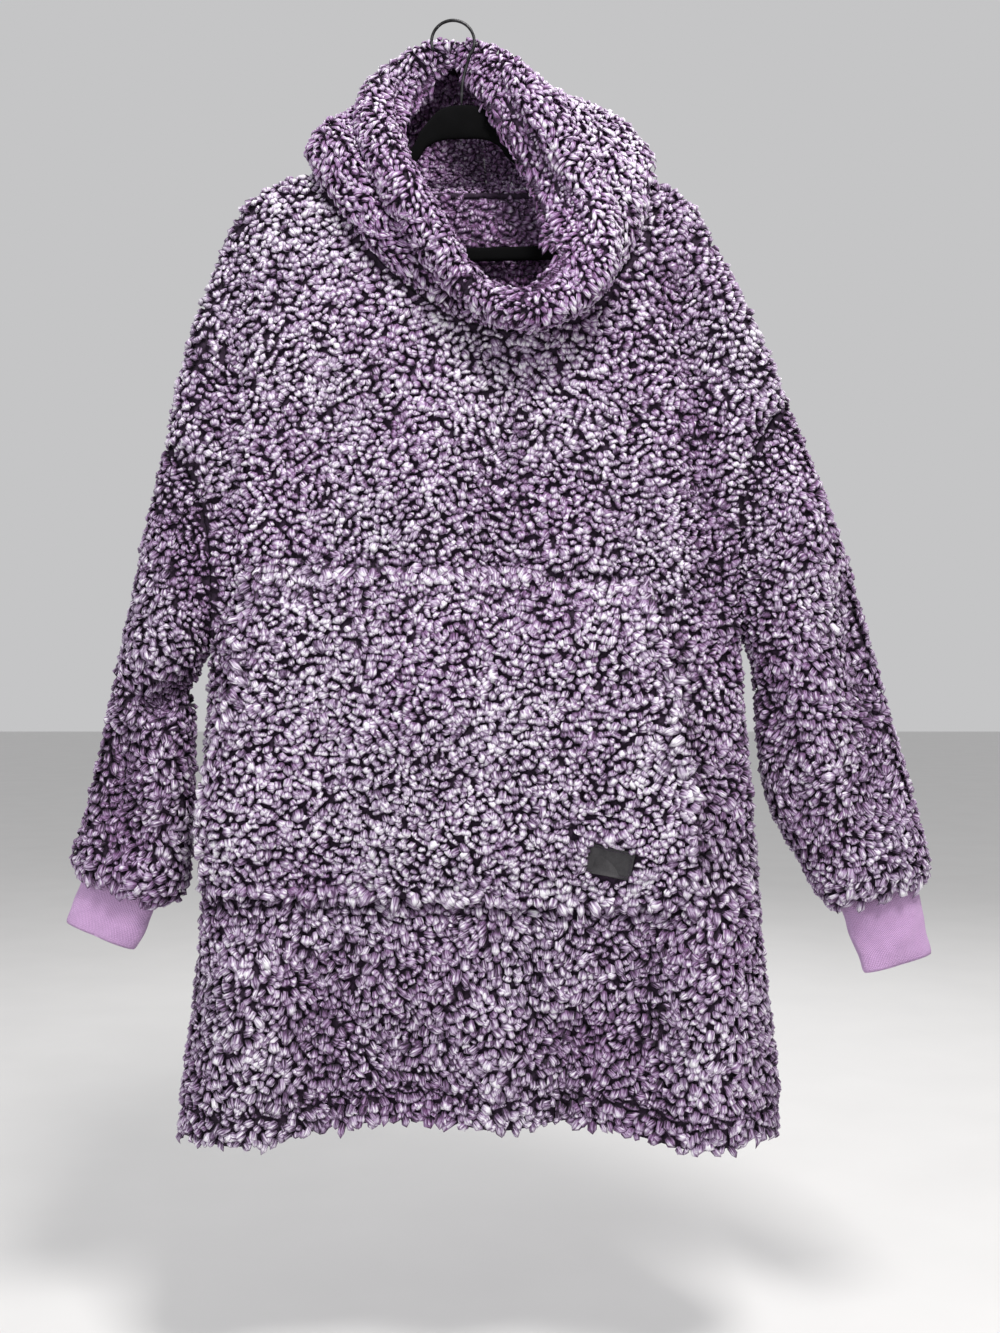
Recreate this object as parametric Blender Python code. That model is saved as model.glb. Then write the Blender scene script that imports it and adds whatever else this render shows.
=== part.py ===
"""Wearable blanket hoodie hung on a clothes hanger.

Frame: +X is the wearer's left, -Y the front of the garment, +Z up. The origin
is the inside top of the hanger's hook, where a rail holds it. Tables and sizes
are in millimetres. Each cloth piece is a wall between an outer surface, which
is at the tips of the pile, and the same surface moved in by the cloth's
thickness.
"""
import itertools
import math
from collections import namedtuple

import bmesh
import bpy
import numpy as np
from mathutils import Vector
from mathutils.bvhtree import BVHTree

MM = 0.001

# Cloth
SHERPA = 9.0
RIB = 2.5
SEAM_GAP = 0.3
SEAM_HALF = SEAM_GAP / 2
ARMHOLE_GAP = 0.7

# Mesh steps
COLUMNS = 30
SIDE_ROWS = 12
ARMHOLE_ROWS = 8
SHOULDER_ROWS = 9
HOOD_ROWS = 6
POCKET_COLUMNS = 14
POCKET_ROWS = 9
COLUMN_CROWDING = 0.55
ARMHOLE_CROWDING = 0.5

# The body's two edges in the plane of the side seams, from the hem up.
# The wearer's right edge is at -X.
Edge = namedtuple("Edge", "right_x right_z left_x left_z")
SIDE_SEAM = [
    Edge(-276, -1112, 321, -1112),
    Edge(-270, -1050, 322, -1060),
    Edge(-258, -960, 312, -968),
    Edge(-253, -880, 304, -888),
    Edge(-251, -780, 297, -778),
    Edge(-248, -690, 290, -690),
    Edge(-244, -629, 285, -618),
]
ARMHOLE = [
    Edge(-244, -629, 285, -618),
    Edge(-240, -572, 281, -556),
    Edge(-244, -508, 284, -480),
    Edge(-260, -458, 301, -420),
    Edge(-287, -418, 331, -378),
]
SHOULDER = [
    Edge(-287, -418, 331, -378),
    Edge(-278, -366, 318, -344),
    Edge(-265, -318, 300, -304),
    Edge(-246, -262, 277, -256),
    Edge(-229, -216, 255, -214),
    Edge(-211, -183, 236, -181),
    Edge(-180, -161, 212, -165),
    Edge(-139, -152, 185, -152),
]
ARMHOLE_DEPTH = 26.0
ARMHOLE_FULLNESS = 0.8
SIDE_ROUNDING = 62.0
SHOULDER_ROUNDING = 40.0

# Half depth of the body at each height
Depth = namedtuple("Depth", "z front back")
BODY_DEPTHS = [
    Depth(-1130, 52, 46),
    Depth(-960, 50, 42),
    Depth(-780, 46, 38),
    Depth(-620, 42, 36),
    Depth(-440, 37, 32),
    Depth(-320, 34, 28),
    Depth(-210, 22, 20),
    Depth(-150, 18, 18),
]

# Hem lobes hang below the straight hem and swing outward
Lobe = namedtuple("Lobe", "x half_width drop swing")
FRONT_LOBES = [Lobe(-205, 88, 22, 12), Lobe(42, 60, 8, 6), Lobe(238, 84, 26, 14)]
BACK_LOBES = [Lobe(-150, 80, 18, 10), Lobe(60, 70, 12, 8), Lobe(225, 80, 20, 12)]
HEM_RISE = 30.0
HEM_CORNER = 0.12
LOBE_FADE = 300.0

# Folds: centre line from its top to its low end, half width, and height
# out of the cloth (below zero for a valley)
Fold = namedtuple("Fold", "top_x top_z low_x low_z half_width height")
FRONT_FOLDS = [
    Fold(-214, -220, -234, -660, 20, -15),
    Fold(212, -200, 266, -640, 24, -16),
    Fold(168, -280, 182, -600, 26, -7),
    Fold(-20, -330, -24, -560, 40, 6),
    Fold(28, -400, 45, -700, 34, -7),
    Fold(-110, -300, -130, -560, 36, -5),
    Fold(120, -620, 150, -900, 30, -8),
    Fold(-120, -700, -150, -900, 34, -6),
    Fold(262, -860, 240, -1120, 30, 12),
    Fold(196, -900, 190, -1120, 24, -9),
    Fold(-205, -930, -208, -1120, 34, 11),
    Fold(-130, -940, -126, -1120, 26, -9),
    Fold(-48, -980, -40, -1120, 34, -10),
    Fold(38, -960, 44, -1120, 28, 8),
    Fold(116, -980, 112, -1120, 30, -13),
]
BACK_FOLDS = [
    Fold(-214, -280, -230, -560, 16, -12),
    Fold(222, -270, 262, -560, 16, -13),
    Fold(-60, -300, -110, -820, 34, -9),
    Fold(100, -280, 140, -860, 38, -10),
    Fold(20, -340, 20, -760, 40, 8),
    Fold(-70, -820, -60, -1120, 38, -12),
    Fold(150, -860, 150, -1120, 34, -13),
    Fold(-170, -900, -165, -1120, 36, 10),
]

# Neckline: a loop through both neck points, leaning to the wearer's left
NECK_X = 23.0
NECK_Z = -152.0
NECK_HALF_WIDTH = 162.0
NECK_START_Z = -560.0
NECK_EASE = 1.5
NECK_CURVE = 1.3
FRONT_NECK = {"drop": 166.0, "lean": 40.0, "depth": 40.0}
BACK_NECK = {"drop": 14.0, "lean": 8.0, "depth": 34.0}

# Sleeve rings from the armhole to the wrist, by their outer and inner ends
Ring = namedtuple("Ring", "outer_x outer_z inner_x inner_z half_depth forward")
RIGHT_SLEEVE = [
    Ring(-305, -500, -252, -640, 33, 2),
    Ring(-320, -578, -256, -652, 34, 3),
    Ring(-335, -643, -261, -676, 32, 2),
    Ring(-352, -722, -261, -722, 32, 0),
    Ring(-367, -788, -262, -788, 33, -1),
    Ring(-380, -826, -268, -863, 34, -1),
    Ring(-378.3, -846, -289.7, -882, 28, 0),
]
LEFT_SLEEVE = [
    Ring(358, -450, 293, -630, 34, 3),
    Ring(383, -518, 297, -645, 36, 4),
    Ring(405, -593, 300, -676, 35, 3),
    Ring(425, -663, 303, -724, 34, 1),
    Ring(445, -733, 313, -780, 33, 0),
    Ring(463, -798, 341, -832, 34, -1),
    Ring(473, -836, 361, -868, 34, 0),
    Ring(470, -856, 375, -884, 28, 0),
]
SLEEVE_RINGS = 12
ARMHOLE_FADE = 2.2
RIGHT_SLEEVE_FOLDS = [
    Fold(-244, -648, -312, -684, 15, -17),
    Fold(-250, -612, -318, -640, 22, 6),
    Fold(-338, -705, -312, -835, 18, -11),
    Fold(-286, -730, -276, -850, 16, 5),
]
LEFT_SLEEVE_FOLDS = [
    Fold(345, -420, 366, -780, 22, 7),
    Fold(376, -545, 420, -790, 16, -12),
    Fold(306, -655, 345, -800, 14, -7),
    Fold(430, -660, 452, -820, 16, 5),
]

# Cuffs by their top and end: centre, half width, half depth
Cuff = namedtuple("Cuff", "top_x top_z end_x end_z half_top half_end depth_top depth_end")
RIGHT_CUFF = Cuff(-334, -864, -354, -913, 38.2, 36.5, 18, 15)
LEFT_CUFF = Cuff(422.5, -870, 443, -940, 40, 35.5, 18, 15)
CUFF_POINTS = 20
CUFF_RINGS = 4
CUFF_INSIDE = 9.0
CUFF_SQUARENESS = 0.85

# Rim of the hood's face opening: the middle of a fat roll, on a full ellipse
# that leans to the wearer's left and tips forward at its low end
RIM_X = 30.0
RIM_Z = -162.0
RIM_LONG = 152.0
RIM_SHORT = 79.0
RIM_LEAN = math.radians(29.5)
RIM_SQUARENESS = 2.6
RIM_Y = -41.0
RIM_TIP_LOW = 28.0
RIM_TIP_TOP = 84.0
RIM_SWEEP = 11.0
HOOD_GAP = 0.6
ROLL_TURNS = (18, 55, 98, 140)
FLAP_TURN = -140
FLAP_SPREAD = 24.0

# Hood sections from the crossing at the front, round the wearer's right side
# and the back. Turns are in degrees round the neckline and round the rim; roll
# is the radius of the casing, which the cloth joins at attach degrees from its
# front toward the outside. low and high are how far the cloth bulges away from
# a straight line, one third and two thirds of the way up from the neck seam.
# flap is how far a fold of the cloth stands into the opening behind the roll.
Section = namedtuple(
    "Section",
    "neck_turn rim_turn roll attach low_x low_y low_z high_x high_y high_z flap",
)
HOOD_SECTIONS = [
    Section(19.6, 56, 17, 175, 0, 0, 0, 0, 0, 0, 0),
    Section(40, 76, 20, 125, -4, -4, 1, -4, -4, 1, 0),
    Section(62, 92, 22, 105, -14, -6, 6, -10, -8, 10, 0),
    Section(90, 118, 22, 95, -22, -2, 14, -14, 0, 30, 8),
    Section(135, 165, 18, 140, -16, 31, -8, -17, 33, 6, 25),
    Section(180, 208, 15, 160, 8, 44, -15, 10, 50, 2, 5),
    Section(225, 243, 18, 130, 33, 46, -4, 21, 50, 11, 20),
    Section(270, 268, 23, 95, 32, 8, 5, 23, 20, 22, 27),
    Section(300, 298, 22, 120, 8, -6, 6, 6, -10, 6, 29),
    Section(324, 330, 20, 165, 0, 0, 0, 0, 0, 0, 36),
    Section(350, 366, 18, 180, 0, 0, 0, 0, 0, 0, 14),
]
HOOD_CROSSING = 3

# Pocket outline on the front
Side = namedtuple("Side", "z right_x left_x")
POCKET_SIDES = [
    Side(-868, -244, 238),
    Side(-730, -226, 226),
    Side(-655, -206, 216),
    Side(-548, -198, 190),
]
POCKET_TOP_STEP = 14.0
POCKET_TOP_STEP_X = 85.0
POCKET_SAG = 8.0
POCKET_ROOM = 14.0
POCKET_SLOPE = 0.22

# How a piece that lies on another is moved clear of it
SETTLE_GAP = 0.45
SETTLE_REACH = 25.0
SETTLE_STEPS = 6
SETTLE_ROUNDS = 3

# Patch on the pocket
PATCH_X = 150.0
PATCH_Z = -833.0
PATCH_WIDTH = 52.0
PATCH_HEIGHT = 29.0
PATCH_TURN = math.radians(-9.7)
PATCH_THICK = 2.0

# Hanger, half of it, from the crown of its arch to the middle of its bar
HangerRow = namedtuple("HangerRow", "out_x out_z in_x in_z")
HANGER_ROWS = [
    HangerRow(0, -83, 0, -117),
    HangerRow(21, -87, 20, -118),
    HangerRow(40, -106, 36, -125),
    HangerRow(60, -133, 55, -145),
    HangerRow(130, -163, 125, -174),
    HangerRow(188, -172.3, 180, -183),
    HangerRow(212, -188, 200, -195),
    HangerRow(222, -208, 209, -207),
    HangerRow(219, -234, 207, -223),
    HangerRow(205, -240, 198, -226),
    HangerRow(100, -240, 100, -226),
    HangerRow(0, -240, 0, -226),
]
HANGER_X = 6.5
HANGER_TILT = math.radians(1.4)
HANGER_THICK = 6.0

# Hook
WIRE = 3.2
HOOK_RADIUS = 21.4
HOOK_X = -2.0
HOOK_NECK_Z = -62.0
HOOK_OPEN_FROM = math.radians(-38)
HOOK_OPEN_TO = math.radians(205)
HOOK_STEPS = 22
WIRE_SIDES = 8


def curve(rows, t):
    """Return the smooth curve through a table's rows, with t counting rows."""
    table = np.array(rows, dtype=float)
    last = len(table) - 1
    t = np.clip(np.asarray(t, dtype=float), 0, last)
    i = np.minimum(t.astype(int), last - 1)
    f = (t - i)[..., None]
    before = table[np.maximum(i - 1, 0)]
    start = table[i]
    end = table[i + 1]
    after = table[np.minimum(i + 2, last)]
    return 0.5 * (
        2 * start
        + (end - before) * f
        + (2 * before - 5 * start + 4 * end - after) * f**2
        + (3 * start - before - 3 * end + after) * f**3
    )


def unit(vectors):
    """Return the vectors at length one."""
    length = np.linalg.norm(vectors, axis=-1, keepdims=True)
    return vectors / np.maximum(length, 1e-9)


def smooth(value):
    """Ease from 0 to 1."""
    value = np.clip(value, 0, 1)
    return value * value * (3 - 2 * value)


def swell(distance, rounding):
    """Rise of a round edge, from 0 at the edge to 1 a rounding further in."""
    left = 1 - np.clip(distance / rounding, 0, 1)
    return np.sqrt(1 - left * left)


def body_edge(t):
    """Return the body's right and left edge at t: 0 hem, 1 armpit, 2 overarm, 3 neck."""
    t = np.asarray(t, dtype=float)
    side = curve(SIDE_SEAM, np.clip(t, 0, 1) * (len(SIDE_SEAM) - 1))
    armhole = curve(ARMHOLE, np.clip(t - 1, 0, 1) * (len(ARMHOLE) - 1))
    shoulder = curve(SHOULDER, np.clip(t - 2, 0, 1) * (len(SHOULDER) - 1))
    place = t[..., None]
    return np.where(place < 1, side, np.where(place < 2, armhole, shoulder))


def armhole_turn(t):
    """Return the cosine and sine of the turn round the armhole at edge place t."""
    cosine = np.clip(1 - 2 * (np.asarray(t, dtype=float) - 1), -1, 1)
    return cosine, np.sqrt(1 - cosine * cosine)


def fold_height(folds, x, z):
    """Sum the folds' heights at x, z."""
    total = np.zeros_like(x)
    for fold in folds:
        along = np.array([fold.low_x - fold.top_x, fold.low_z - fold.top_z], dtype=float)
        length = np.hypot(along[0], along[1])
        along = along / length
        run = ((x - fold.top_x) * along[0] + (z - fold.top_z) * along[1]) / length
        off = (x - fold.top_x) * along[1] - (z - fold.top_z) * along[0]
        fade = smooth((run + 0.12) / 0.3) * smooth((1.12 - run) / 0.3)
        total = total + fold.height * fade * np.exp(-((off / fold.half_width) ** 2))
    return total


def neck_loop(turn):
    """Return the neckline's point and wall direction at a turn in degrees.

    0 is the centre front, 90 the wearer's right neck point, 180 the back.
    """
    angle = np.radians(turn)
    sine = np.sin(angle)
    cosine = np.cos(angle)
    reach = np.abs(cosine)
    is_front = cosine > 0

    def pick(name):
        return np.where(is_front, FRONT_NECK[name], BACK_NECK[name])

    face = np.where(is_front, -1.0, 1.0)
    x = NECK_X - NECK_HALF_WIDTH * sine + pick("lean") * reach
    y = face * (SEAM_HALF + pick("depth") * reach**0.5)
    z = NECK_Z - pick("drop") * reach**NECK_CURVE
    wall = unit(np.stack([-0.85 * sine, face * reach, 0.5 * np.abs(sine)], axis=-1))
    return np.stack([x, y, z], axis=-1), wall


def panel_points(face, u, t):
    """Return the outer points of the front (face -1) or the back (face +1).

    u runs from the right edge to the left edge, t up the edge as in body_edge.
    """
    edge = body_edge(t)
    right_x, right_z, left_x, left_z = [edge[..., k] for k in range(4)]
    hem_z = SIDE_SEAM[0].right_z
    neck_pull = np.clip((right_z - NECK_START_Z) / (NECK_Z - NECK_START_Z), 0, 1) ** NECK_EASE
    neck_pull = np.where(t >= 3, 1.0, neck_pull)
    neck, _ = neck_loop(90 + face * 180 * u)
    top = SHOULDER[-1]
    line_x = top.right_x + (top.left_x - top.right_x) * u
    line_z = top.right_z + (top.left_z - top.right_z) * u
    x = right_x + (left_x - right_x) * u + neck_pull * (neck[..., 0] - line_x)
    z = right_z + (left_z - right_z) * u + neck_pull * (neck[..., 2] - line_z)

    lobes = FRONT_LOBES if face < 0 else BACK_LOBES
    hem_pull = np.clip(1 - (z - hem_z) / LOBE_FADE, 0, 1)
    inside = swell(np.minimum(u, 1 - u), HEM_CORNER)
    swing = np.zeros_like(x)
    fall = -HEM_RISE * inside
    for lobe in lobes:
        shape = np.exp(-(((x - lobe.x) / lobe.half_width) ** 2))
        fall = fall + lobe.drop * shape * inside
        swing = swing + lobe.swing * shape
    z = z - fall * hem_pull

    column = 1 if face < 0 else 2
    depths = np.array(BODY_DEPTHS, dtype=float)
    full = np.interp(z, depths[:, 0], depths[:, column])
    folds = FRONT_FOLDS if face < 0 else BACK_FOLDS
    full = full + fold_height(folds, x, z) + swing * hem_pull
    _, armhole_sine = armhole_turn(t)
    is_armhole = (t > 1) & (t < 2)
    edge_depth = SEAM_HALF + np.where(is_armhole, ARMHOLE_DEPTH * armhole_sine**ARMHOLE_FULLNESS, 0)
    rounding = SIDE_ROUNDING + (SHOULDER_ROUNDING - SIDE_ROUNDING) * smooth(t - 1.5)
    inset = np.minimum(u, 1 - u) * (left_x - right_x)
    depth = edge_depth + (full - edge_depth) * swell(inset, rounding)
    neck_depth = np.abs(neck[..., 1])
    near_neck = neck_pull**5
    depth = depth + (neck_depth - depth) * near_neck
    return np.stack([x, face * depth, z], axis=-1)


def crowded(count, amount):
    """Return count + 1 places from 0 to 1, crowded toward both ends by amount."""
    even = np.linspace(0, 1, count + 1)
    return (1 - amount) * even + amount * (0.5 - 0.5 * np.cos(np.pi * even))


def panel_steps():
    """Return the panel's places across and up, closer together at round edges."""
    side = np.linspace(0, 1, SIDE_ROWS + 1)
    armhole = 1 + crowded(ARMHOLE_ROWS, ARMHOLE_CROWDING)
    shoulder = np.linspace(2, 3, SHOULDER_ROWS + 1)
    return crowded(COLUMNS, COLUMN_CROWDING), np.concatenate([side, armhole[1:], shoulder[1:]])


def edge_tangents(t):
    """Return the upward directions of the body's right and left edge at t."""
    step = 1e-3
    t = np.asarray(t, dtype=float)
    stretch = np.minimum(np.floor(np.where(t == 2, 1.5, t)), 2)
    stretch = np.where(t == 1, 1, stretch)
    ahead = body_edge(np.minimum(t + step, stretch + 1 - 1e-6))
    behind = body_edge(np.maximum(t - step, stretch))
    move = ahead - behind
    return unit(move[..., :2]), unit(move[..., 2:])


def grid_normals(points, outward):
    """Return unit normals of a grid of points, turned the way outward gives."""
    across = np.gradient(points, axis=1)
    along = np.gradient(points, axis=0)
    return outward * unit(np.cross(across, along))


def panel_walls(face):
    """Return a body panel's outer points and its wall directions."""
    across, rows = panel_steps()
    u, t = np.meshgrid(across, rows)
    points = panel_points(face, u, t)
    normals = grid_normals(points, -face)
    right, left = edge_tangents(rows)
    cosine, sine = armhole_turn(rows)
    is_armhole = (rows >= 1) & (rows <= 2)
    for column, tangent, side in ((0, right, -1), (-1, left, 1)):
        flat = np.stack([side * tangent[:, 1], 0 * rows, -side * tangent[:, 0]], axis=-1)
        along = np.stack([tangent[:, 0], 0 * rows, tangent[:, 1]], axis=-1)
        front = np.array([0.0, face, 0.0])
        turned = unit(-cosine[:, None] * along + sine[:, None] * front)
        normals[:, column] = np.where(is_armhole[:, None], turned, flat)
    _, neck = neck_loop(90 + face * 180 * across)
    normals[-1] = neck
    return points, normals


def sleeve_walls(rings, folds, side):
    """Return a sleeve's outer points and wall directions, ring by ring."""
    half = ARMHOLE_ROWS
    down = 1 - crowded(half, ARMHOLE_CROWDING)[::-1]
    share = np.concatenate([down, down[-2:0:-1]])
    turn = np.arccos(1 - 2 * share)
    turn[half + 1:] *= -1
    place = 2 - share
    edge = body_edge(place)
    columns = (0, 1) if side < 0 else (2, 3)
    armhole = np.stack([edge[:, columns[0]], edge[:, columns[1]]], axis=-1)
    right, left = edge_tangents(place)
    tangent = right if side < 0 else left
    away_z = -side * tangent[:, 0] * np.sign(tangent[:, 1])
    away = np.stack([side * np.abs(tangent[:, 1]), away_z], axis=-1)
    start = armhole + ARMHOLE_GAP * away
    sine = np.sin(turn)
    bulge = np.sign(sine) * np.abs(sine) ** ARMHOLE_FULLNESS
    table = np.array(rings, dtype=float)
    first = np.concatenate([armhole[0], armhole[half], [ARMHOLE_DEPTH, 0.0]])
    table = np.concatenate([first[None], table])
    steps = np.linspace(0, 1, SLEEVE_RINGS + 1) * (len(table) - 1)
    points = []
    for step in steps:
        row = curve(table, step)
        started = np.clip(step, 0, 1)
        line = row[:2] + share[:, None] * (row[2:4] - row[:2])
        straight = armhole[0] + share[:, None] * (armhole[half] - armhole[0])
        bow = (start - straight) * max(0.0, 1 - step / ARMHOLE_FADE) ** 1.5
        flat = line + bow
        depth = SEAM_HALF + row[4] * np.abs(bulge)
        deep = np.sign(-bulge) * depth
        deep = np.where(np.abs(sine) < 1e-6, 0.0, deep)
        fold = fold_height(folds, flat[:, 0], flat[:, 1]) * np.abs(sine) ** 0.7
        deep = deep + started * (np.sign(deep) * fold - row[5])
        points.append(np.stack([flat[:, 0], deep, flat[:, 1]], axis=-1))
    points = np.array(points)
    wrapped = np.concatenate([points[:, -1:], points, points[:, :1]], axis=1)
    normals = grid_normals(wrapped, 1.0)[:, 1:-1]
    centre = points.mean(axis=1, keepdims=True)
    outward = np.sign(np.sum(normals * (points - centre), axis=(1, 2)))
    normals = normals * outward[:, None, None]
    along = np.stack([tangent[:, 0], 0 * turn, tangent[:, 1]], axis=-1)
    normals[0] = unit(np.cos(turn)[:, None] * along - sine[:, None] * np.array([0.0, 1.0, 0.0]))
    return points, normals


def cuff_points(cuff, outset, reach):
    """Return the rings of a cuff's tube, from reach above its top to its end.

    outset moves the tube outward.
    """
    top = np.array([cuff.top_x, cuff.top_z], dtype=float)
    end = np.array([cuff.end_x, cuff.end_z], dtype=float)
    axis = unit(end - top)
    across = np.array([-axis[1], axis[0]])
    length = np.hypot(*(end - top))
    turn = 2 * np.pi * np.arange(CUFF_POINTS) / CUFF_POINTS
    rings = []
    for place in np.linspace(-reach / length, 1, CUFF_RINGS + 1):
        grow = np.clip(place, 0, 1)
        half = cuff.half_top + (cuff.half_end - cuff.half_top) * grow + outset
        deep = cuff.depth_top + (cuff.depth_end - cuff.depth_top) * grow + outset
        centre = top + (end - top) * place
        wide = np.sign(np.cos(turn)) * np.abs(np.cos(turn)) ** CUFF_SQUARENESS * half
        y = np.sign(np.sin(turn)) * np.abs(np.sin(turn)) ** CUFF_SQUARENESS * deep
        flat = centre + wide[:, None] * across
        rings.append(np.stack([flat[:, 0], y, flat[:, 1]], axis=-1))
    return np.array(rings)


def around(points):
    """Return the directions along a closed loop of points."""
    return unit(np.roll(points, -1, axis=0) - np.roll(points, 1, axis=0))


def rim_frame(turn):
    """Return the rim roll's middle, outward and forward directions at turns in degrees."""
    angle = np.radians(turn)
    power = 2 / RIM_SQUARENESS
    long_share = np.sign(np.cos(angle)) * np.abs(np.cos(angle)) ** power
    short_share = -np.sign(np.sin(angle)) * np.abs(np.sin(angle)) ** power
    s = RIM_LONG * long_share
    p = RIM_SHORT * short_share
    x = RIM_X + s * math.sin(RIM_LEAN) + p * math.cos(RIM_LEAN)
    tip = np.where(long_share > 0, RIM_TIP_LOW, RIM_TIP_TOP)
    y = RIM_Y - tip * long_share * np.abs(long_share) ** 0.6
    y = y + RIM_SWEEP * short_share * (1 - long_share * long_share)
    z = RIM_Z - s * math.cos(RIM_LEAN) + p * math.sin(RIM_LEAN)
    middle = np.stack([x, y, z], axis=-1)
    forward = unit(np.array([0.0, -RIM_LONG, RIM_TIP_LOW]))
    outward = unit(np.cross(around(middle), forward))
    centre = np.array([RIM_X, RIM_Y, RIM_Z])
    flip = np.sign(np.sum(outward * (middle - centre), axis=-1, keepdims=True))
    return middle, outward * flip, forward + 0 * middle


def hood_turns():
    """Return the neck turns of the hood's columns, the same as the panels' columns."""
    across = crowded(COLUMNS, COLUMN_CROWDING)
    front = 90 - 180 * across
    back = 90 + 180 * across
    middle = COLUMNS // 2
    return np.concatenate([front[middle::-1], back[1:], front[-2:middle:-1] + 360])


def turned_out(directions, points):
    """Flip the directions that point into the hood."""
    middle = np.array([NECK_X, 0.0, RIM_Z])
    sign = np.sign(np.sum(directions * (points - middle), axis=-1, keepdims=True))
    return directions * sign


def hood_walls(turns):
    """Return outer points, inner points and the roll's tip round the whole hood."""
    sections = np.array(HOOD_SECTIONS, dtype=float)
    full_turn = np.array([360, 360] + [0] * (len(Section._fields) - 2))
    table = np.concatenate([sections[-1:] - full_turn, sections, sections[:2] + full_turn])
    places = np.linspace(0, len(table) - 1, 600)
    row = curve(table, np.interp(turns, curve(table, places)[:, 0], places))
    neck, neck_wall = neck_loop(turns)
    start = neck + np.array([0.0, 0.0, HOOD_GAP])
    middle, outward, forward = rim_frame(row[:, 1])
    radius = row[:, 2:3]

    def roll(turn):
        angle = np.radians(row[:, 3:4] - turn)
        flap = row[:, 10:11] * math.exp(-(((turn - FLAP_TURN) / FLAP_SPREAD) ** 2))
        return middle + (radius * np.sin(angle) - flap) * outward + radius * np.cos(angle) * forward

    stitch = roll(ROLL_TURNS[0])
    low = start + (stitch - start) / 3 + row[:, 4:7]
    high = start + (stitch - start) * 2 / 3 + row[:, 7:10]
    low_wall = turned_out(unit(np.cross(high - start, around(low))), low)
    high_wall = turned_out(unit(np.cross(stitch - low, around(high))), high)
    outer_keys = np.stack([start, low, high, stitch, roll(ROLL_TURNS[1])])
    inner_keys = np.stack([
        start - SHERPA * neck_wall,
        low - SHERPA * low_wall,
        high - SHERPA * high_wall,
        roll(-ROLL_TURNS[0]),
        roll(-ROLL_TURNS[1]),
    ])
    share = np.linspace(0, 3, HOOD_ROWS + 1)
    walls = []
    for keys, side in ((outer_keys, 1), (inner_keys, -1)):
        cloth = curve(keys.reshape(5, -1), share).reshape(len(share), -1, 3)
        walls.append(np.concatenate([cloth, [roll(side * turn) for turn in ROLL_TURNS[1:]]]))
    return walls[0], walls[1], roll(180)


def panel_place(x, z):
    """Find u and t of the front's point at x, z, by halving."""
    low = np.zeros_like(x)
    high = np.full_like(x, 2.9)
    u = np.full_like(x, 0.5)
    for _ in range(26):
        t = (low + high) / 2
        for _ in range(3):
            found = panel_points(-1, u, t)
            width = body_edge(t)[..., 2] - body_edge(t)[..., 0]
            u = np.clip(u + (x - found[..., 0]) / width, 0.001, 0.999)
        found = panel_points(-1, u, t)
        is_low = found[..., 2] < z
        low = np.where(is_low, t, low)
        high = np.where(is_low, high, t)
    return u, (low + high) / 2


def front_surface(x, z):
    """Return points and normals of the front's outer surface at x, z."""
    u, t = panel_place(x, z)
    step = 0.004
    here = panel_points(-1, u, t)
    across = panel_points(-1, u + step, t) - panel_points(-1, u - step, t)
    along = panel_points(-1, u, t + step) - panel_points(-1, u, t - step)
    return here, unit(np.cross(across, along))


def pocket_flat(a, b):
    """Return x and z of the pocket at a across and b up."""
    sides = np.array(POCKET_SIDES, dtype=float)
    bottom = sides[0, 0]
    top = sides[-1, 0]
    level = bottom + (top - bottom) * b
    right_x = np.interp(level, sides[:, 0], sides[:, 1])
    left_x = np.interp(level, sides[:, 0], sides[:, 2])
    x = right_x + (left_x - right_x) * a
    step = POCKET_TOP_STEP * smooth((x - POCKET_TOP_STEP_X + 12) / 24)
    z = level - b * step - (1 - b) * POCKET_SAG * (2 * a - 0.6)
    return x, z


def settle(points, normals, under):
    """Move a grid of points out until its faces clear the mesh under it by the seam gap."""
    tree = BVHTree.FromPolygons(
        [vertex.co[:] for vertex in under.vertices],
        [list(face.vertices) for face in under.polygons],
    )
    points = points.copy()
    shares = np.linspace(0, 1, SETTLE_STEPS)
    for _ in range(SETTLE_ROUNDS):
        lift = np.zeros(points.shape[:2])
        cells = itertools.product(range(len(points) - 1), range(points.shape[1] - 1))
        for (r, c), a, b in itertools.product(cells, shares, shares):
            part = (slice(r, r + 2), slice(c, c + 2))
            weight = np.array([[(1 - a) * (1 - b), (1 - a) * b], [a * (1 - b), a * b]])[..., None]
            place = (points[part] * weight).sum(axis=(0, 1))
            way = unit((normals[part] * weight).sum(axis=(0, 1)))
            start = Vector((place + SETTLE_REACH * way) * MM)
            reached = tree.ray_cast(start, Vector(-way))[3]
            if reached is not None:
                short = SETTLE_GAP + SETTLE_REACH - reached / MM
                lift[part] = np.maximum(lift[part], short)
        points += lift[..., None] * normals
    return points


def new_object(name, mesh, colour, roughness, metallic=0.0):
    """Link a mesh as an object with its own material."""
    thing = bpy.data.objects.new(name, mesh)
    bpy.context.collection.objects.link(thing)
    material = bpy.data.materials.new(name)
    material.use_nodes = True
    shader = material.node_tree.nodes["Principled BSDF"]
    shader.inputs["Base Color"].default_value = (*colour, 1.0)
    shader.inputs["Roughness"].default_value = roughness
    shader.inputs["Metallic"].default_value = metallic
    thing.data.materials.append(material)
    return thing


def mesh_from(name, vertices, faces):
    """Return a closed mesh with its faces pointing out, in metres."""
    mesh = bpy.data.meshes.new(name)
    mesh.from_pydata((np.array(vertices) * MM).tolist(), [], faces)
    work = bmesh.new()
    work.from_mesh(mesh)
    bmesh.ops.recalc_face_normals(work, faces=work.faces)
    work.to_mesh(mesh)
    work.free()
    mesh.shade_smooth()
    return mesh


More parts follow.
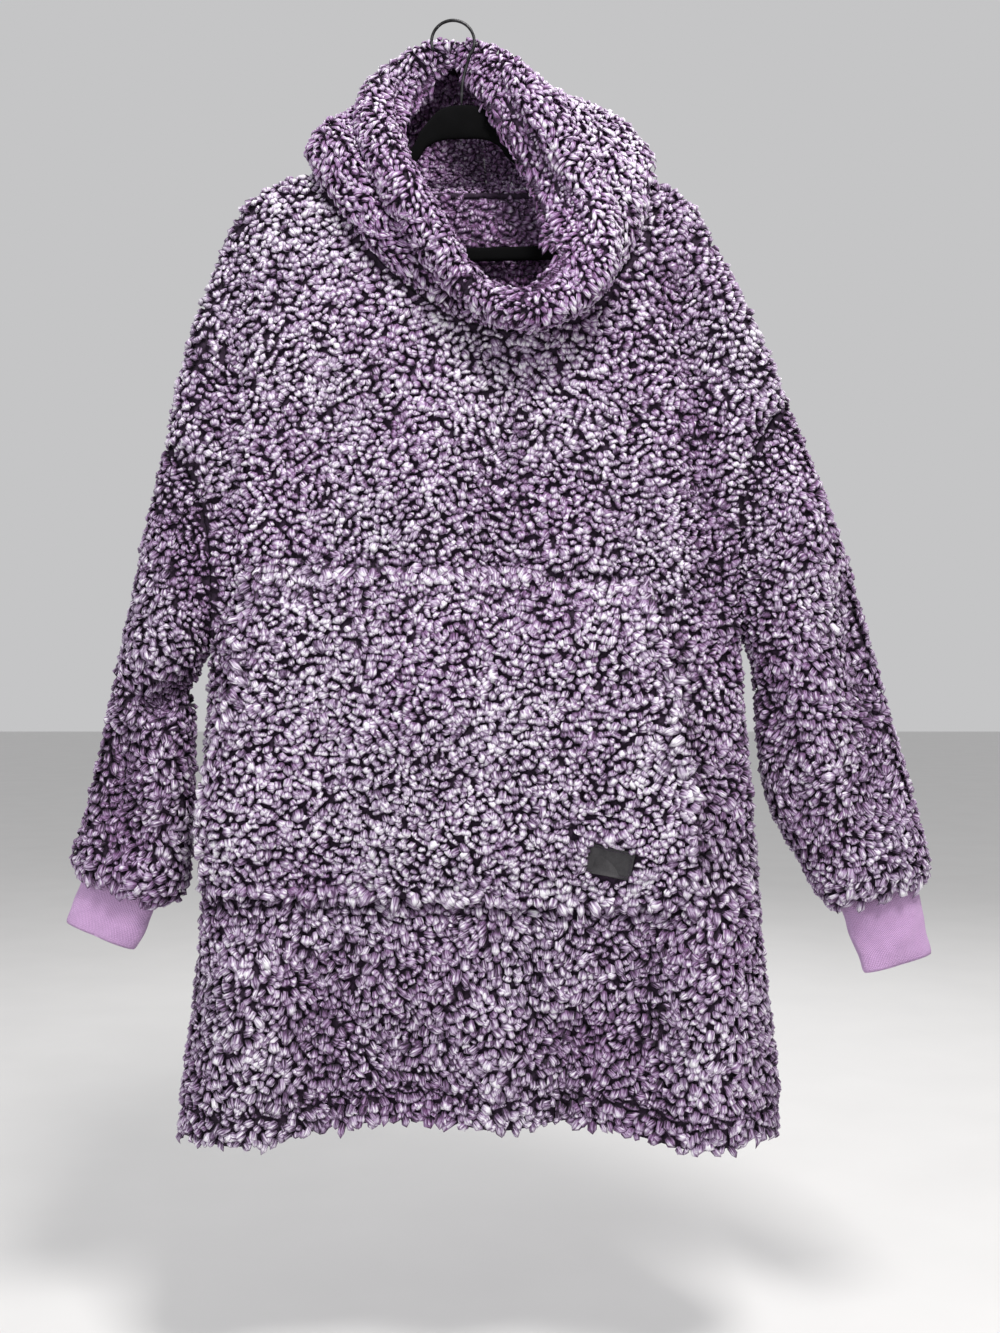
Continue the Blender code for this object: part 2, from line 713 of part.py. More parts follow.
def wall_mesh(name, outer, inner, closed=False, tip=None):
    """Return a wall between two grids of points, closed round if they are rings.

    tip is one more row of points, which rounds the wall's last edge.
    """
    rows, columns = outer.shape[:2]
    vertices = list(outer.reshape(-1, 3)) + list(inner.reshape(-1, 3))
    second = rows * columns
    faces = []
    spans = columns if closed else columns - 1

    def strip(first_row, second_row):
        for c in range(spans):
            d = (c + 1) % columns
            faces.append((first_row + c, first_row + d, second_row + d, second_row + c))

    for r in range(rows - 1):
        strip(r * columns, (r + 1) * columns)
        strip(second + (r + 1) * columns, second + r * columns)
    strip(second, 0)
    last = (rows - 1) * columns
    if tip is None:
        strip(last, second + last)
    else:
        start = len(vertices)
        vertices += list(tip)
        strip(last, start)
        strip(start, second + last)
    if not closed:
        far = columns - 1
        for low in range(0, last, columns):
            high = low + columns
            faces.append((low, high, second + high, second + low))
            faces.append((low + far, second + low + far, second + high + far, high + far))
        if tip is not None:
            faces.append((last, start, second + last))
            faces.append((last + far, second + last + far, start + far))
    return mesh_from(name, vertices, faces)


def build_panel(name, face, colour):
    """Build the front or the back."""
    points, normals = panel_walls(face)
    mesh = wall_mesh(name, points, points - SHERPA * normals)
    return new_object(name, mesh, colour, 0.9)


def build_sleeve(name, rings, folds, side, colour):
    """Build one sleeve."""
    points, normals = sleeve_walls(rings, folds, side)
    mesh = wall_mesh(name, points, points - SHERPA * normals, closed=True)
    return new_object(name, mesh, colour, 0.9)


def build_cuff(name, cuff, colour):
    """Build one rib cuff."""
    outer = cuff_points(cuff, 0, CUFF_INSIDE)
    inner = cuff_points(cuff, -RIB, CUFF_INSIDE)
    return new_object(name, wall_mesh(name, outer, inner, closed=True), colour, 0.8)


def build_hood(name, first, last, colour):
    """Build one side of the hood between two columns, with its casing round the rim."""
    outer, inner, tip = hood_walls(hood_turns())
    part = np.arange(first, last + 1) % (2 * COLUMNS)
    grids = [outer[:, part], inner[:, part], tip[None, part]]
    for end, step in ((0, 1), (-1, -2)):
        inside = unit(grids[0][:, step] - grids[0][:, end]).mean(axis=0)
        for grid in grids:
            grid[:, end] += SEAM_HALF * unit(inside)
    return new_object(name, wall_mesh(name, grids[0], grids[1], tip=grids[2][0]), colour, 0.9)


def build_pocket(front, colour):
    """Build the kangaroo pocket from the front's own points."""
    a, b = np.meshgrid(np.linspace(0, 1, POCKET_COLUMNS + 1), np.linspace(0, 1, POCKET_ROWS + 1))
    here, normal = front_surface(*pocket_flat(a, b))
    room = POCKET_ROOM * smooth(np.minimum(b, 1 - b) / POCKET_SLOPE)
    inner = settle(here + normal * room[..., None], normal, front.data)
    return new_object("pocket", wall_mesh("pocket", inner + SHERPA * normal, inner), colour, 0.9)


def build_patch(pocket, colour):
    """Build the small leather patch on the pocket."""
    across = np.linspace(-0.5, 0.5, 4) * PATCH_WIDTH
    up = np.linspace(-0.5, 0.5, 3) * PATCH_HEIGHT
    wide, high = np.meshgrid(across, up)
    x = PATCH_X + wide * math.cos(PATCH_TURN) - high * math.sin(PATCH_TURN)
    z = PATCH_Z + wide * math.sin(PATCH_TURN) + high * math.cos(PATCH_TURN)
    here, normal = front_surface(x, z)
    inner = settle(here + normal * SHERPA, normal, pocket.data)
    outer = inner + normal * PATCH_THICK
    return new_object("patch", wall_mesh("patch", outer, inner), colour, 0.6)


def hanger_place(x, z):
    """Place a point of the hanger's own drawing, centred and tilted."""
    dx = np.asarray(x, dtype=float)
    dz = np.asarray(z, dtype=float) - HANGER_ROWS[0].out_z
    turned_x = dx * math.cos(HANGER_TILT) - dz * math.sin(HANGER_TILT)
    turned_z = dx * math.sin(HANGER_TILT) + dz * math.cos(HANGER_TILT)
    return HANGER_X + turned_x, HANGER_ROWS[0].out_z + turned_z


def build_hanger(colour):
    """Build the hanger's flat loop with rounded edges."""
    half = np.array(HANGER_ROWS, dtype=float)
    other = half[-2:0:-1] * np.array([-1, 1, -1, 1])
    loop = np.concatenate([half, other])
    rings = []
    edge = [(0.0, 0.12), (0.1, 0.36), (0.3, 0.5), (0.7, 0.5), (0.9, 0.36), (1.0, 0.12)]
    section = edge + [(share, -side) for share, side in reversed(edge)]
    for share, side in section:
        x = loop[:, 0] + (loop[:, 2] - loop[:, 0]) * share
        z = loop[:, 1] + (loop[:, 3] - loop[:, 1]) * share
        x, z = hanger_place(x, z)
        rings.append(np.stack([x, 0 * x + side * HANGER_THICK, z], axis=-1))
    rings = np.array(rings)
    count, columns = rings.shape[:2]
    faces = []
    for r in range(count):
        s = (r + 1) % count
        for c in range(columns):
            d = (c + 1) % columns
            low = r * columns
            high = s * columns
            faces.append((low + c, low + d, high + d, high + c))
    mesh = mesh_from("hanger", rings.reshape(-1, 3), faces)
    return new_object("hanger", mesh, colour, 0.95)


def build_hook(colour):
    """Build the hook: a neck wire and an open ring, its inside top at the origin."""
    centre_z = WIRE / 2 - HOOK_RADIUS
    angles = np.linspace(HOOK_OPEN_FROM, HOOK_OPEN_TO, HOOK_STEPS)
    ring_x = HOOK_X + HOOK_RADIUS * np.cos(angles)
    ring_z = centre_z + HOOK_RADIUS * np.sin(angles)
    foot_x, foot_z = hanger_place(0.0, HANGER_ROWS[0].out_z + SEAM_GAP)
    neck = [(foot_x, foot_z), (foot_x + 1, HOOK_NECK_Z), (foot_x + 4, HOOK_NECK_Z + 14)]
    path = np.array([*neck, *zip(ring_x, ring_z)])
    along = unit(np.gradient(path, axis=0))
    across = np.stack([along[:, 1], 0 * along[:, 0], -along[:, 0]], axis=-1)
    middle = np.stack([path[:, 0], 0 * path[:, 0], path[:, 1]], axis=-1)
    depth = np.array([0.0, 1.0, 0.0])
    rings = []
    for turn in np.linspace(0, 2 * math.pi, WIRE_SIDES, endpoint=False):
        around_wire = math.cos(turn) * across + math.sin(turn) * depth
        rings.append(middle + WIRE / 2 * around_wire)
    rings = np.array(rings)
    columns = len(path)
    faces = [tuple(range(0, WIRE_SIDES * columns, columns))]
    faces.append(tuple(range(columns - 1, WIRE_SIDES * columns, columns)))
    for r in range(WIRE_SIDES):
        s = (r + 1) % WIRE_SIDES
        for c in range(columns - 1):
            low = r * columns + c
            high = s * columns + c
            faces.append((low, low + 1, high + 1, high))
    mesh = mesh_from("hanger_hook", rings.reshape(-1, 3), faces)
    return new_object("hanger_hook", mesh, colour, 0.35, 0.9)


def main():
    """Clear the scene and build every piece."""
    for thing in list(bpy.data.objects):
        bpy.data.objects.remove(thing)
    sherpa = (0.36, 0.25, 0.40)
    lilac = (0.45, 0.28, 0.50)
    front = build_panel("front", -1, sherpa)
    build_panel("back", 1, sherpa)
    build_sleeve("sleeve_right", RIGHT_SLEEVE, RIGHT_SLEEVE_FOLDS, -1, sherpa)
    build_sleeve("sleeve_left", LEFT_SLEEVE, LEFT_SLEEVE_FOLDS, 1, sherpa)
    build_cuff("cuff_right", RIGHT_CUFF, lilac)
    build_cuff("cuff_left", LEFT_CUFF, lilac)
    build_hood("hood_right", HOOD_CROSSING, COLUMNS, sherpa)
    build_hood("hood_left", COLUMNS, 2 * COLUMNS + HOOD_CROSSING, sherpa)
    pocket = build_pocket(front, sherpa)
    build_patch(pocket, (0.04, 0.04, 0.045))
    build_hanger((0.008, 0.008, 0.009))
    build_hook((0.10, 0.10, 0.10))


main()
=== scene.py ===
"""Looks of a wearable blanket hoodie hung on a clothes hanger.

Laid out as a Blender add-on and run as a script: each piece has its operator,
and the sizes and colours that a user would change are properties.

Frame: +X is the wearer's left, -Y the front of the garment, +Z up. The origin
is the inside top of the hanger's hook. Tables and sizes are in millimetres.
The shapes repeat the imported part's own tables with finer steps. Each cloth
piece is a backing inside the solid's wall, with locks of pile that grow out
to the wall's surface.
"""

import math
from collections import namedtuple

import bmesh
import bpy
import numpy as np
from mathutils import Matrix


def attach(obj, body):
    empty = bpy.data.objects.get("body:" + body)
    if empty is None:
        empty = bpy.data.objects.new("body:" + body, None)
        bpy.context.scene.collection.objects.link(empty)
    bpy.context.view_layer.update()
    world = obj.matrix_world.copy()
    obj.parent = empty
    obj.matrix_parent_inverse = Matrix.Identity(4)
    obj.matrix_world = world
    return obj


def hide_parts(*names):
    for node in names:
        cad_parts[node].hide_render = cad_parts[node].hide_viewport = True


bl_info = {
    "name": "Sherpa Blanket Hoodie",
    "version": (1, 0, 0),
    "blender": (4, 5, 0),
    "location": "3D View > Sidebar > Hoodie",
    "description": "Builds a sherpa blanket hoodie on its hanger, with cloth, pile and stage",
    "category": "Object",
}

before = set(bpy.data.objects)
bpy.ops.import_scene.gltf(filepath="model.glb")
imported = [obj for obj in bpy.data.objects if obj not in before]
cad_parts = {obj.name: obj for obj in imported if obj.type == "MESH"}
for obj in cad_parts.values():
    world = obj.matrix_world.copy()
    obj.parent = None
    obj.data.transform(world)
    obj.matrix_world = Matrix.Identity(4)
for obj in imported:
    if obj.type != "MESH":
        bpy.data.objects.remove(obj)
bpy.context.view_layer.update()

MM = 0.001

# Cloth
SHERPA = 9.0
RIB = 2.5
SEAM_GAP = 0.3
SEAM_HALF = SEAM_GAP / 2
ARMHOLE_GAP = 0.7

# Mesh steps of the backing
COLUMNS = 72
SIDE_ROWS = 44
ARMHOLE_ROWS = 20
SHOULDER_ROWS = 26
HOOD_ROWS = 22
POCKET_COLUMNS = 56
POCKET_ROWS = 40
COLUMN_CROWDING = 0.55
ARMHOLE_CROWDING = 0.5

# The body's two edges in the plane of the side seams, from the hem up.
# The wearer's right edge is at -X.
Edge = namedtuple("Edge", "right_x right_z left_x left_z")
SIDE_SEAM = [
    Edge(-276, -1112, 321, -1112),
    Edge(-270, -1050, 322, -1060),
    Edge(-258, -960, 312, -968),
    Edge(-253, -880, 304, -888),
    Edge(-251, -780, 297, -778),
    Edge(-248, -690, 290, -690),
    Edge(-244, -629, 285, -618),
]
ARMHOLE = [
    Edge(-244, -629, 285, -618),
    Edge(-240, -572, 281, -556),
    Edge(-244, -508, 284, -480),
    Edge(-260, -458, 301, -420),
    Edge(-287, -418, 331, -378),
]
SHOULDER = [
    Edge(-287, -418, 331, -378),
    Edge(-278, -366, 318, -344),
    Edge(-265, -318, 300, -304),
    Edge(-246, -262, 277, -256),
    Edge(-229, -216, 255, -214),
    Edge(-211, -183, 236, -181),
    Edge(-180, -161, 212, -165),
    Edge(-139, -152, 185, -152),
]
ARMHOLE_DEPTH = 26.0
ARMHOLE_FULLNESS = 0.8
SIDE_ROUNDING = 62.0
SHOULDER_ROUNDING = 40.0

# Half depth of the body at each height
Depth = namedtuple("Depth", "z front back")
BODY_DEPTHS = [
    Depth(-1130, 52, 46),
    Depth(-960, 50, 42),
    Depth(-780, 46, 38),
    Depth(-620, 42, 36),
    Depth(-440, 37, 32),
    Depth(-320, 34, 28),
    Depth(-210, 22, 20),
    Depth(-150, 18, 18),
]

# Hem lobes hang below the straight hem and swing outward
Lobe = namedtuple("Lobe", "x half_width drop swing")
FRONT_LOBES = [Lobe(-205, 88, 22, 12), Lobe(42, 60, 8, 6), Lobe(238, 84, 26, 14)]
BACK_LOBES = [Lobe(-150, 80, 18, 10), Lobe(60, 70, 12, 8), Lobe(225, 80, 20, 12)]
HEM_RISE = 30.0
HEM_CORNER = 0.12
LOBE_FADE = 300.0

# Folds: centre line from its top to its low end, half width, and height
# out of the cloth (below zero for a valley)
Fold = namedtuple("Fold", "top_x top_z low_x low_z half_width height")
FRONT_FOLDS = [
    Fold(-214, -220, -234, -660, 20, -15),
    Fold(212, -200, 266, -640, 24, -16),
    Fold(168, -280, 182, -600, 26, -7),
    Fold(-20, -330, -24, -560, 40, 6),
    Fold(28, -400, 45, -700, 34, -7),
    Fold(-110, -300, -130, -560, 36, -5),
    Fold(120, -620, 150, -900, 30, -8),
    Fold(-120, -700, -150, -900, 34, -6),
    Fold(262, -860, 240, -1120, 30, 12),
    Fold(196, -900, 190, -1120, 24, -9),
    Fold(-205, -930, -208, -1120, 34, 11),
    Fold(-130, -940, -126, -1120, 26, -9),
    Fold(-48, -980, -40, -1120, 34, -10),
    Fold(38, -960, 44, -1120, 28, 8),
    Fold(116, -980, 112, -1120, 30, -13),
]
BACK_FOLDS = [
    Fold(-214, -280, -230, -560, 16, -12),
    Fold(222, -270, 262, -560, 16, -13),
    Fold(-60, -300, -110, -820, 34, -9),
    Fold(100, -280, 140, -860, 38, -10),
    Fold(20, -340, 20, -760, 40, 8),
    Fold(-70, -820, -60, -1120, 38, -12),
    Fold(150, -860, 150, -1120, 34, -13),
    Fold(-170, -900, -165, -1120, 36, 10),
]

# Neckline: a loop through both neck points, leaning to the wearer's left
NECK_X = 23.0
NECK_Z = -152.0
NECK_HALF_WIDTH = 162.0
NECK_START_Z = -560.0
NECK_EASE = 1.5
NECK_CURVE = 1.3
FRONT_NECK = {"drop": 166.0, "lean": 40.0, "depth": 40.0}
BACK_NECK = {"drop": 14.0, "lean": 8.0, "depth": 34.0}

# Sleeve rings from the armhole to the wrist, by their outer and inner ends
Ring = namedtuple("Ring", "outer_x outer_z inner_x inner_z half_depth forward")
RIGHT_SLEEVE = [
    Ring(-305, -500, -252, -640, 33, 2),
    Ring(-320, -578, -256, -652, 34, 3),
    Ring(-335, -643, -261, -676, 32, 2),
    Ring(-352, -722, -261, -722, 32, 0),
    Ring(-367, -788, -262, -788, 33, -1),
    Ring(-380, -826, -268, -863, 34, -1),
    Ring(-378.3, -846, -289.7, -882, 28, 0),
]
LEFT_SLEEVE = [
    Ring(358, -450, 293, -630, 34, 3),
    Ring(383, -518, 297, -645, 36, 4),
    Ring(405, -593, 300, -676, 35, 3),
    Ring(425, -663, 303, -724, 34, 1),
    Ring(445, -733, 313, -780, 33, 0),
    Ring(463, -798, 341, -832, 34, -1),
    Ring(473, -836, 361, -868, 34, 0),
    Ring(470, -856, 375, -884, 28, 0),
]
SLEEVE_RINGS = 56
ARMHOLE_FADE = 2.2
RIGHT_SLEEVE_FOLDS = [
    Fold(-244, -648, -312, -684, 15, -17),
    Fold(-250, -612, -318, -640, 22, 6),
    Fold(-338, -705, -312, -835, 18, -11),
    Fold(-286, -730, -276, -850, 16, 5),
]
LEFT_SLEEVE_FOLDS = [
    Fold(345, -420, 366, -780, 22, 7),
    Fold(376, -545, 420, -790, 16, -12),
    Fold(306, -655, 345, -800, 14, -7),
    Fold(430, -660, 452, -820, 16, 5),
]

# Cuffs by their top and end: centre, half width, half depth
Cuff = namedtuple("Cuff", "top_x top_z end_x end_z half_top half_end depth_top depth_end")
RIGHT_CUFF = Cuff(-334, -864, -354, -913, 38.2, 36.5, 18, 15)
LEFT_CUFF = Cuff(422.5, -870, 443, -940, 40, 35.5, 18, 15)
CUFF_POINTS = 120
CUFF_RINGS = 30
CUFF_INSIDE = 9.0
CUFF_SQUARENESS = 0.85

# Rim of the hood's face opening: the middle of a fat roll, on a full ellipse
# that leans to the wearer's left and tips forward at its low end
RIM_X = 30.0
RIM_Z = -162.0
RIM_LONG = 152.0
RIM_SHORT = 79.0
RIM_LEAN = math.radians(29.5)
RIM_SQUARENESS = 2.6
RIM_Y = -41.0
RIM_TIP_LOW = 28.0
RIM_TIP_TOP = 84.0
RIM_SWEEP = 11.0
HOOD_GAP = 0.6
ROLL_TURNS = (18, 30, 42, 55, 69, 83, 98, 112, 126, 140, 160)
FLAP_TURN = -140
FLAP_SPREAD = 24.0

# Hood sections from the crossing at the front, round the wearer's right side
# and the back. Turns are in degrees round the neckline and round the rim; roll
# is the radius of the casing, which the cloth joins at attach degrees from its
# front toward the outside. low and high are how far the cloth bulges away from
# a straight line, one third and two thirds of the way up from the neck seam.
# flap is how far a fold of the cloth stands into the opening behind the roll.
Section = namedtuple(
    "Section",
    "neck_turn rim_turn roll attach low_x low_y low_z high_x high_y high_z flap",
)
HOOD_SECTIONS = [
    Section(19.6, 56, 17, 175, 0, 0, 0, 0, 0, 0, 0),
    Section(40, 76, 20, 125, -4, -4, 1, -4, -4, 1, 0),
    Section(62, 92, 22, 105, -14, -6, 6, -10, -8, 10, 0),
    Section(90, 118, 22, 95, -22, -2, 14, -14, 0, 30, 8),
    Section(135, 165, 18, 140, -16, 31, -8, -17, 33, 6, 25),
    Section(180, 208, 15, 160, 8, 44, -15, 10, 50, 2, 5),
    Section(225, 243, 18, 130, 33, 46, -4, 21, 50, 11, 20),
    Section(270, 268, 23, 95, 32, 8, 5, 23, 20, 22, 27),
    Section(300, 298, 22, 120, 8, -6, 6, 6, -10, 6, 29),
    Section(324, 330, 20, 165, 0, 0, 0, 0, 0, 0, 36),
    Section(350, 366, 18, 180, 0, 0, 0, 0, 0, 0, 14),
]

# Pocket outline on the front
Side = namedtuple("Side", "z right_x left_x")
POCKET_SIDES = [
    Side(-868, -244, 238),
    Side(-730, -226, 226),
    Side(-655, -206, 216),
    Side(-548, -198, 190),
]
POCKET_TOP_STEP = 14.0
POCKET_TOP_STEP_X = 85.0
POCKET_SAG = 8.0
POCKET_ROOM = 14.0
POCKET_SLOPE = 0.22

# Patch on the pocket
PATCH_X = 150.0
PATCH_Z = -833.0
PATCH_WIDTH = 52.0
PATCH_HEIGHT = 29.0
PATCH_TURN = math.radians(-9.7)
PATCH_THICK = 2.0

# Hanger, half of it, from the crown of its arch to the middle of its bar
HangerRow = namedtuple("HangerRow", "out_x out_z in_x in_z")
HANGER_ROWS = [
    HangerRow(0, -83, 0, -117),
    HangerRow(21, -87, 20, -118),
    HangerRow(40, -106, 36, -125),
    HangerRow(60, -133, 55, -145),
    HangerRow(130, -163, 125, -174),
    HangerRow(188, -172.3, 180, -183),
    HangerRow(212, -188, 200, -195),
    HangerRow(222, -208, 209, -207),
    HangerRow(219, -234, 207, -223),
    HangerRow(205, -240, 198, -226),
    HangerRow(100, -240, 100, -226),
    HangerRow(0, -240, 0, -226),
]
HANGER_X = 6.5
HANGER_TILT = math.radians(1.4)
HANGER_THICK = 6.0

# Hook
WIRE = 3.2
HOOK_RADIUS = 21.4
HOOK_X = -2.0
HOOK_NECK_Z = -62.0
HOOK_OPEN_FROM = math.radians(-38)
HOOK_OPEN_TO = math.radians(205)
HOOK_STEPS = 64
WIRE_SIDES = 14

# Narrower creases, in the same columns as the folds
FRONT_CREASES = [
    Fold(135, -238, 245, -278, 9, -6),
    Fold(120, -215, 236, -246, 9, 4),
    Fold(224, -470, 280, -500, 9, -5),
    Fold(-236, -560, -190, -600, 9, -4),
    Fold(-90, -1000, -84, -1120, 12, 5),
    Fold(78, -1010, 84, -1120, 12, 5),
]
BACK_CREASES = [
    Fold(-60, -210, -200, -262, 12, -5),
    Fold(90, -205, 220, -256, 12, -5),
    Fold(-205, -560, -120, -640, 14, -5),
    Fold(240, -540, 150, -640, 14, -5),
]
RIGHT_SLEEVE_CREASES = [
    Fold(-244, -634, -306, -668, 8, 9),
    Fold(-244, -660, -300, -694, 11, -12),
    Fold(-318, -700, -338, -800, 11, -6),
    Fold(-300, -800, -270, -812, 8, -4),
]
LEFT_SLEEVE_CREASES = [
    Fold(330, -560, 372, -640, 9, -4),
    Fold(350, -700, 392, -760, 9, -5),
    Fold(392, -780, 420, -826, 9, -4),
]

# How far the key points of the hood's walls reach into the roll, and the turn
# round the neckline at which the hood's two ends meet, both in degrees
ROLL_KEY = 55
HOOD_CROSSING_TURN = 19.6

# Backing under the pile, from the solid's outer and inner surface
BACKING_DEPTH = 4.4
LINING_DEPTH = 1.5

# Pile of each piece: spacing of the locks, how far they stand out of the
# backing, half their width, how far they hang, and their lightness and pinkness
Pile = namedtuple("Pile", "spacing height half_width hang light pink")
FRONT_PILE = Pile(6.6, 5.4, 3.5, 5.8, 0.50, 0.28)
BACK_PILE = Pile(7.6, 5.8, 4.1, 6.4, 0.50, 0.28)
SLEEVE_PILE = Pile(5.9, 5.6, 2.8, 7.2, 0.33, 0.32)
POCKET_PILE = Pile(6.6, 5.6, 3.5, 6.2, 0.51, 0.25)
HOOD_PILE = Pile(4.9, 6.2, 1.85, 9.0, 0.48, 0.88)
INSIDE_PILE = Pile(7.2, 2.8, 3.6, 4.4, 0.07, 0.85)

# A lock of pile, ring by ring from its root: share of its height and of its
# hang, how far it leans over, its width across and deep, and how frosted it is;
# the unfrosted root takes the near-black root colour, partly painted shade
LockRing = namedtuple("LockRing", "out along lean wide deep frost")
LOCK_RINGS = [
    LockRing(-0.15, 0.00, 0, 0.75, 0.65, 0.00),
    LockRing(0.60, 0.05, 24, 1.40, 0.74, 0.34),
    LockRing(0.95, 0.60, 62, 1.42, 0.70, 0.98),
]
LOCK_TIP = LockRing(0.45, 1.12, 90, 0.0, 0.0, 0.70)
LOCK_SIDES = 5

# How far along the lock's texture each ring lies, and how much painted light a
# ring that leans over gets on its top side, with painted shade on its underside
LOCK_LEVELS = (0.0, 0.45, 0.8)
TOP_SIDE_LIGHT = 0.34

# Flat cuts of the sheets, in metres: the size of the rectangle, and the area
# of the cut in it
Cut = namedtuple("Cut", "width length area")

# Lines of stitching, from the edges that they follow, half the width of their
# grooves, and how much the pile is pressed in them
HEM_STITCH = 29.0
HEM_GROOVE = 4.5
POCKET_STITCH = 24.0
POCKET_LOW_STITCH = 12
POCKET_SIDE_STITCH = 15
HOOD_GROOVE = 4.0
GROOVE_PRESS = 0.65

# Pile near a seam: its height there, how far it stays flat, over what distance
# it rises, where painted shade starts to darken it, and how far from the seam it is left off
SEAM_PILE = 0.45
SEAM_FLAT = 1.5
SEAM_RISE = 9
SEAM_SHADE = 8
SEAM_SHADE_EASE = 6
SEAM_DARK = 0.12
HOOD_SEAM_DARK = 0.14
SEAM_BARE = 1.2
EDGE_BARE = 1.0

# Light and shade that folds give to the pile, for each millimetre of their height
BODY_FOLD_LIGHT = 0.016
SLEEVE_FOLD_LIGHT = 0.028
FOLD_DARKEST = -0.34
FOLD_LIGHTEST = 0.08

# Where the body's pile grows longer toward the hem, and darker with painted shade
LOWER_TOP_Z = -520
LOWER_SPAN = 350
HEM_EASE = 8

# How far the front's bare place lies inside the pocket's outline, and how far
# outside it the pile is pressed and shaded, in two steps
POCKET_COVER = 7.0
POCKET_SHADES = (-6.0, -13.0)

# Locks at the pocket's edges
POCKET_EDGE_REACH = 16
POCKET_EDGE_EASE = 12

# Pile of the sleeves: how far down it reaches its length, where its last
# locks hang over the wrist, and how much painted shade darkens the right sleeve
SLEEVE_FALL = 150
WRIST_REACH = 26
WRIST_EASE = 20
RIGHT_SLEEVE_DARK = 0.09

# Where painted light makes the hood lighter, toward the wearer's left
HOOD_LIGHT_X = 50
HOOD_LIGHT_SPAN = 110

# Lining inside the back: its low end, and how it starts at the neck and is
# darkened near it with painted shade
LINING_LOW_Z = -330.0
LINING_NECK_BARE = 5
LINING_NECK_SHADE = 16
LINING_NECK_EASE = 12
LINING_NECK_DARK = 0.22

# Seam allowance inside the neck, between two turns round it
NECK_SEAM_TURNS = (112, 248)
NECK_SEAM_STEPS = 90
NECK_SEAM_INSET = 1.2
NECK_SEAM_RADIUS = 2.9
NECK_SEAM_RIPPLE = 0.5

# How far the pocket's wall lies off the front's surface where it is sewn down
SETTLE_GAP = 0.45

# Label: its corners' radius, steps round it, how deep it sinks into the pile as
# a share of its thickness, and its section as inset from the edge and such a share
PATCH_CORNER = 2.4
PATCH_STEPS = 120
PATCH_SUNK = 0.35
PATCH_PROFILE = [
    (0.0, 0.0), (0.0, 0.55), (0.12, 0.80), (0.4, 0.96), (0.9, 1.0), (1.5, 0.98), (2.3, 0.84),
    (2.9, 0.84), (3.7, 0.97), (5.0, 1.0), (8.0, 1.0), (11.0, 1.0), (13.9, 1.0),
]

# Thread round the label: its inset, radius, how each stitch arches and sinks
# in, the points along it, and its two colours
THREAD_INSET = 2.6
THREAD_RADIUS = 0.42
THREAD_ARCH = 0.55
THREAD_SUNK = 0.15
STITCH_POINTS = 7
THREAD_DARK = (0.02, 0.012, 0.025)
THREAD_PALE = (0.07, 0.045, 0.08)

# Cuffs: the rounding at their end, soft dents and ripples, and folds
CUFF_ROUND = 6.0
CUFF_DENT = 1.1
CUFF_DENT_LENGTH = 46
CUFF_RIPPLE = 0.4
CUFF_RIPPLE_LENGTH = 17
RIGHT_CUFF_FOLDS = [
    Fold(-350, -868, -366, -912, 10, -0.8),
]
LEFT_CUFF_FOLDS = [
    Fold(398, -893, 420, -945, 7, -1.6),
    Fold(412, -890, 436, -938, 8, 1.4),
]

# Hanger: steps along half of it, and its soft edge as shares of its height and
# thickness; the wire's colours
HANGER_STEPS = 150
HANGER_EDGE = [(0.0, 0.10), (0.03, 0.26), (0.10, 0.40), (0.22, 0.48), (0.35, 0.5)]
WIRE_DARK = (0.018, 0.018, 0.019)
WIRE_RUBBED = (0.07, 0.07, 0.073)

# How many places are tried for each lock, and how close two may stand, as a
# share of the spacing
CANDIDATES = 12
LOCK_APART = 0.86

# How far apart both sides of a cloth are taken while places are spread
OTHER_SIDE = 10000.0

# How locks vary: a normal spread round 1 that is kept between two shares
Spread = namedtuple("Spread", "spread least most")
LOCK_HEIGHTS = Spread(0.18, 0.6, 1.45)
LOCK_WIDTHS = Spread(0.19, 0.6, 1.45)
LOCK_REACHES = Spread(0.30, 0.3, 1.8)
BEND_SPREAD = 0.22

# How locks hang: outward tilt, and the turn aside in waves and for each lock
HANG_TILT = 0.25
SWIRL = 0.75
SWIRL_WAVE = 62
SWIRL_SPREAD = 0.45

# How their lightness and pinkness vary, in waves and for each lock
LIGHT_WAVES = 0.05
LIGHT_WAVE_LONG = 95
LIGHT_WAVE_SHORT = 30
LIGHT_SPREAD = 0.15
PINK_WAVES = 0.2
PINK_WAVE = 130
PINK_SPREAD = 0.12

# What frost with its painted light, lightness with its painted light and shade,
# and strands add to the pile's tone, and what is taken off
TONE_OF_FROST_AND_PAINTED_LIGHT = 0.66
TONE_OF_LIGHT = 0.62
TONE_OF_STRAND = 2.7
TONE_DARKER = 0.345

# Lights: place, size and tint; their powers are settings of the stage
Light = namedtuple("Light", "name place size tint")
LIGHTS = [
    Light("key", (0.55, -1.5, 1.5), 0.7, (1.0, 0.98, 0.96)),
    Light("fill", (-1.6, -1.8, -0.1), 1.4, (0.95, 0.97, 1.0)),
    Light("back", (0.6, 1.8, 0.9), 1.2, (1.0, 1.0, 1.0)),
]
LIGHT_TARGET = (0.03, 0.0, -0.55)

# Camera, in metres
CAMERA_X = 0.045
CAMERA_Z = -0.6445
CAMERA_AWAY = 1.5
FRAME_HEIGHT = 1.333


def curve(rows, t):
    """Return the smooth curve through a table's rows, with t counting rows."""
    table = np.array(rows, dtype=float)
    last = len(table) - 1
    t = np.clip(np.asarray(t, dtype=float), 0, last)
    i = np.minimum(t.astype(int), last - 1)
    f = (t - i)[..., None]
    before = table[np.maximum(i - 1, 0)]
    start = table[i]
    end = table[i + 1]
    after = table[np.minimum(i + 2, last)]
    return 0.5 * (
        2 * start
        + (end - before) * f
        + (2 * before - 5 * start + 4 * end - after) * f**2
        + (3 * start - before - 3 * end + after) * f**3
    )


def unit(vectors):
    """Return the vectors at length one."""
    length = np.linalg.norm(vectors, axis=-1, keepdims=True)
    return vectors / np.maximum(length, 1e-9)


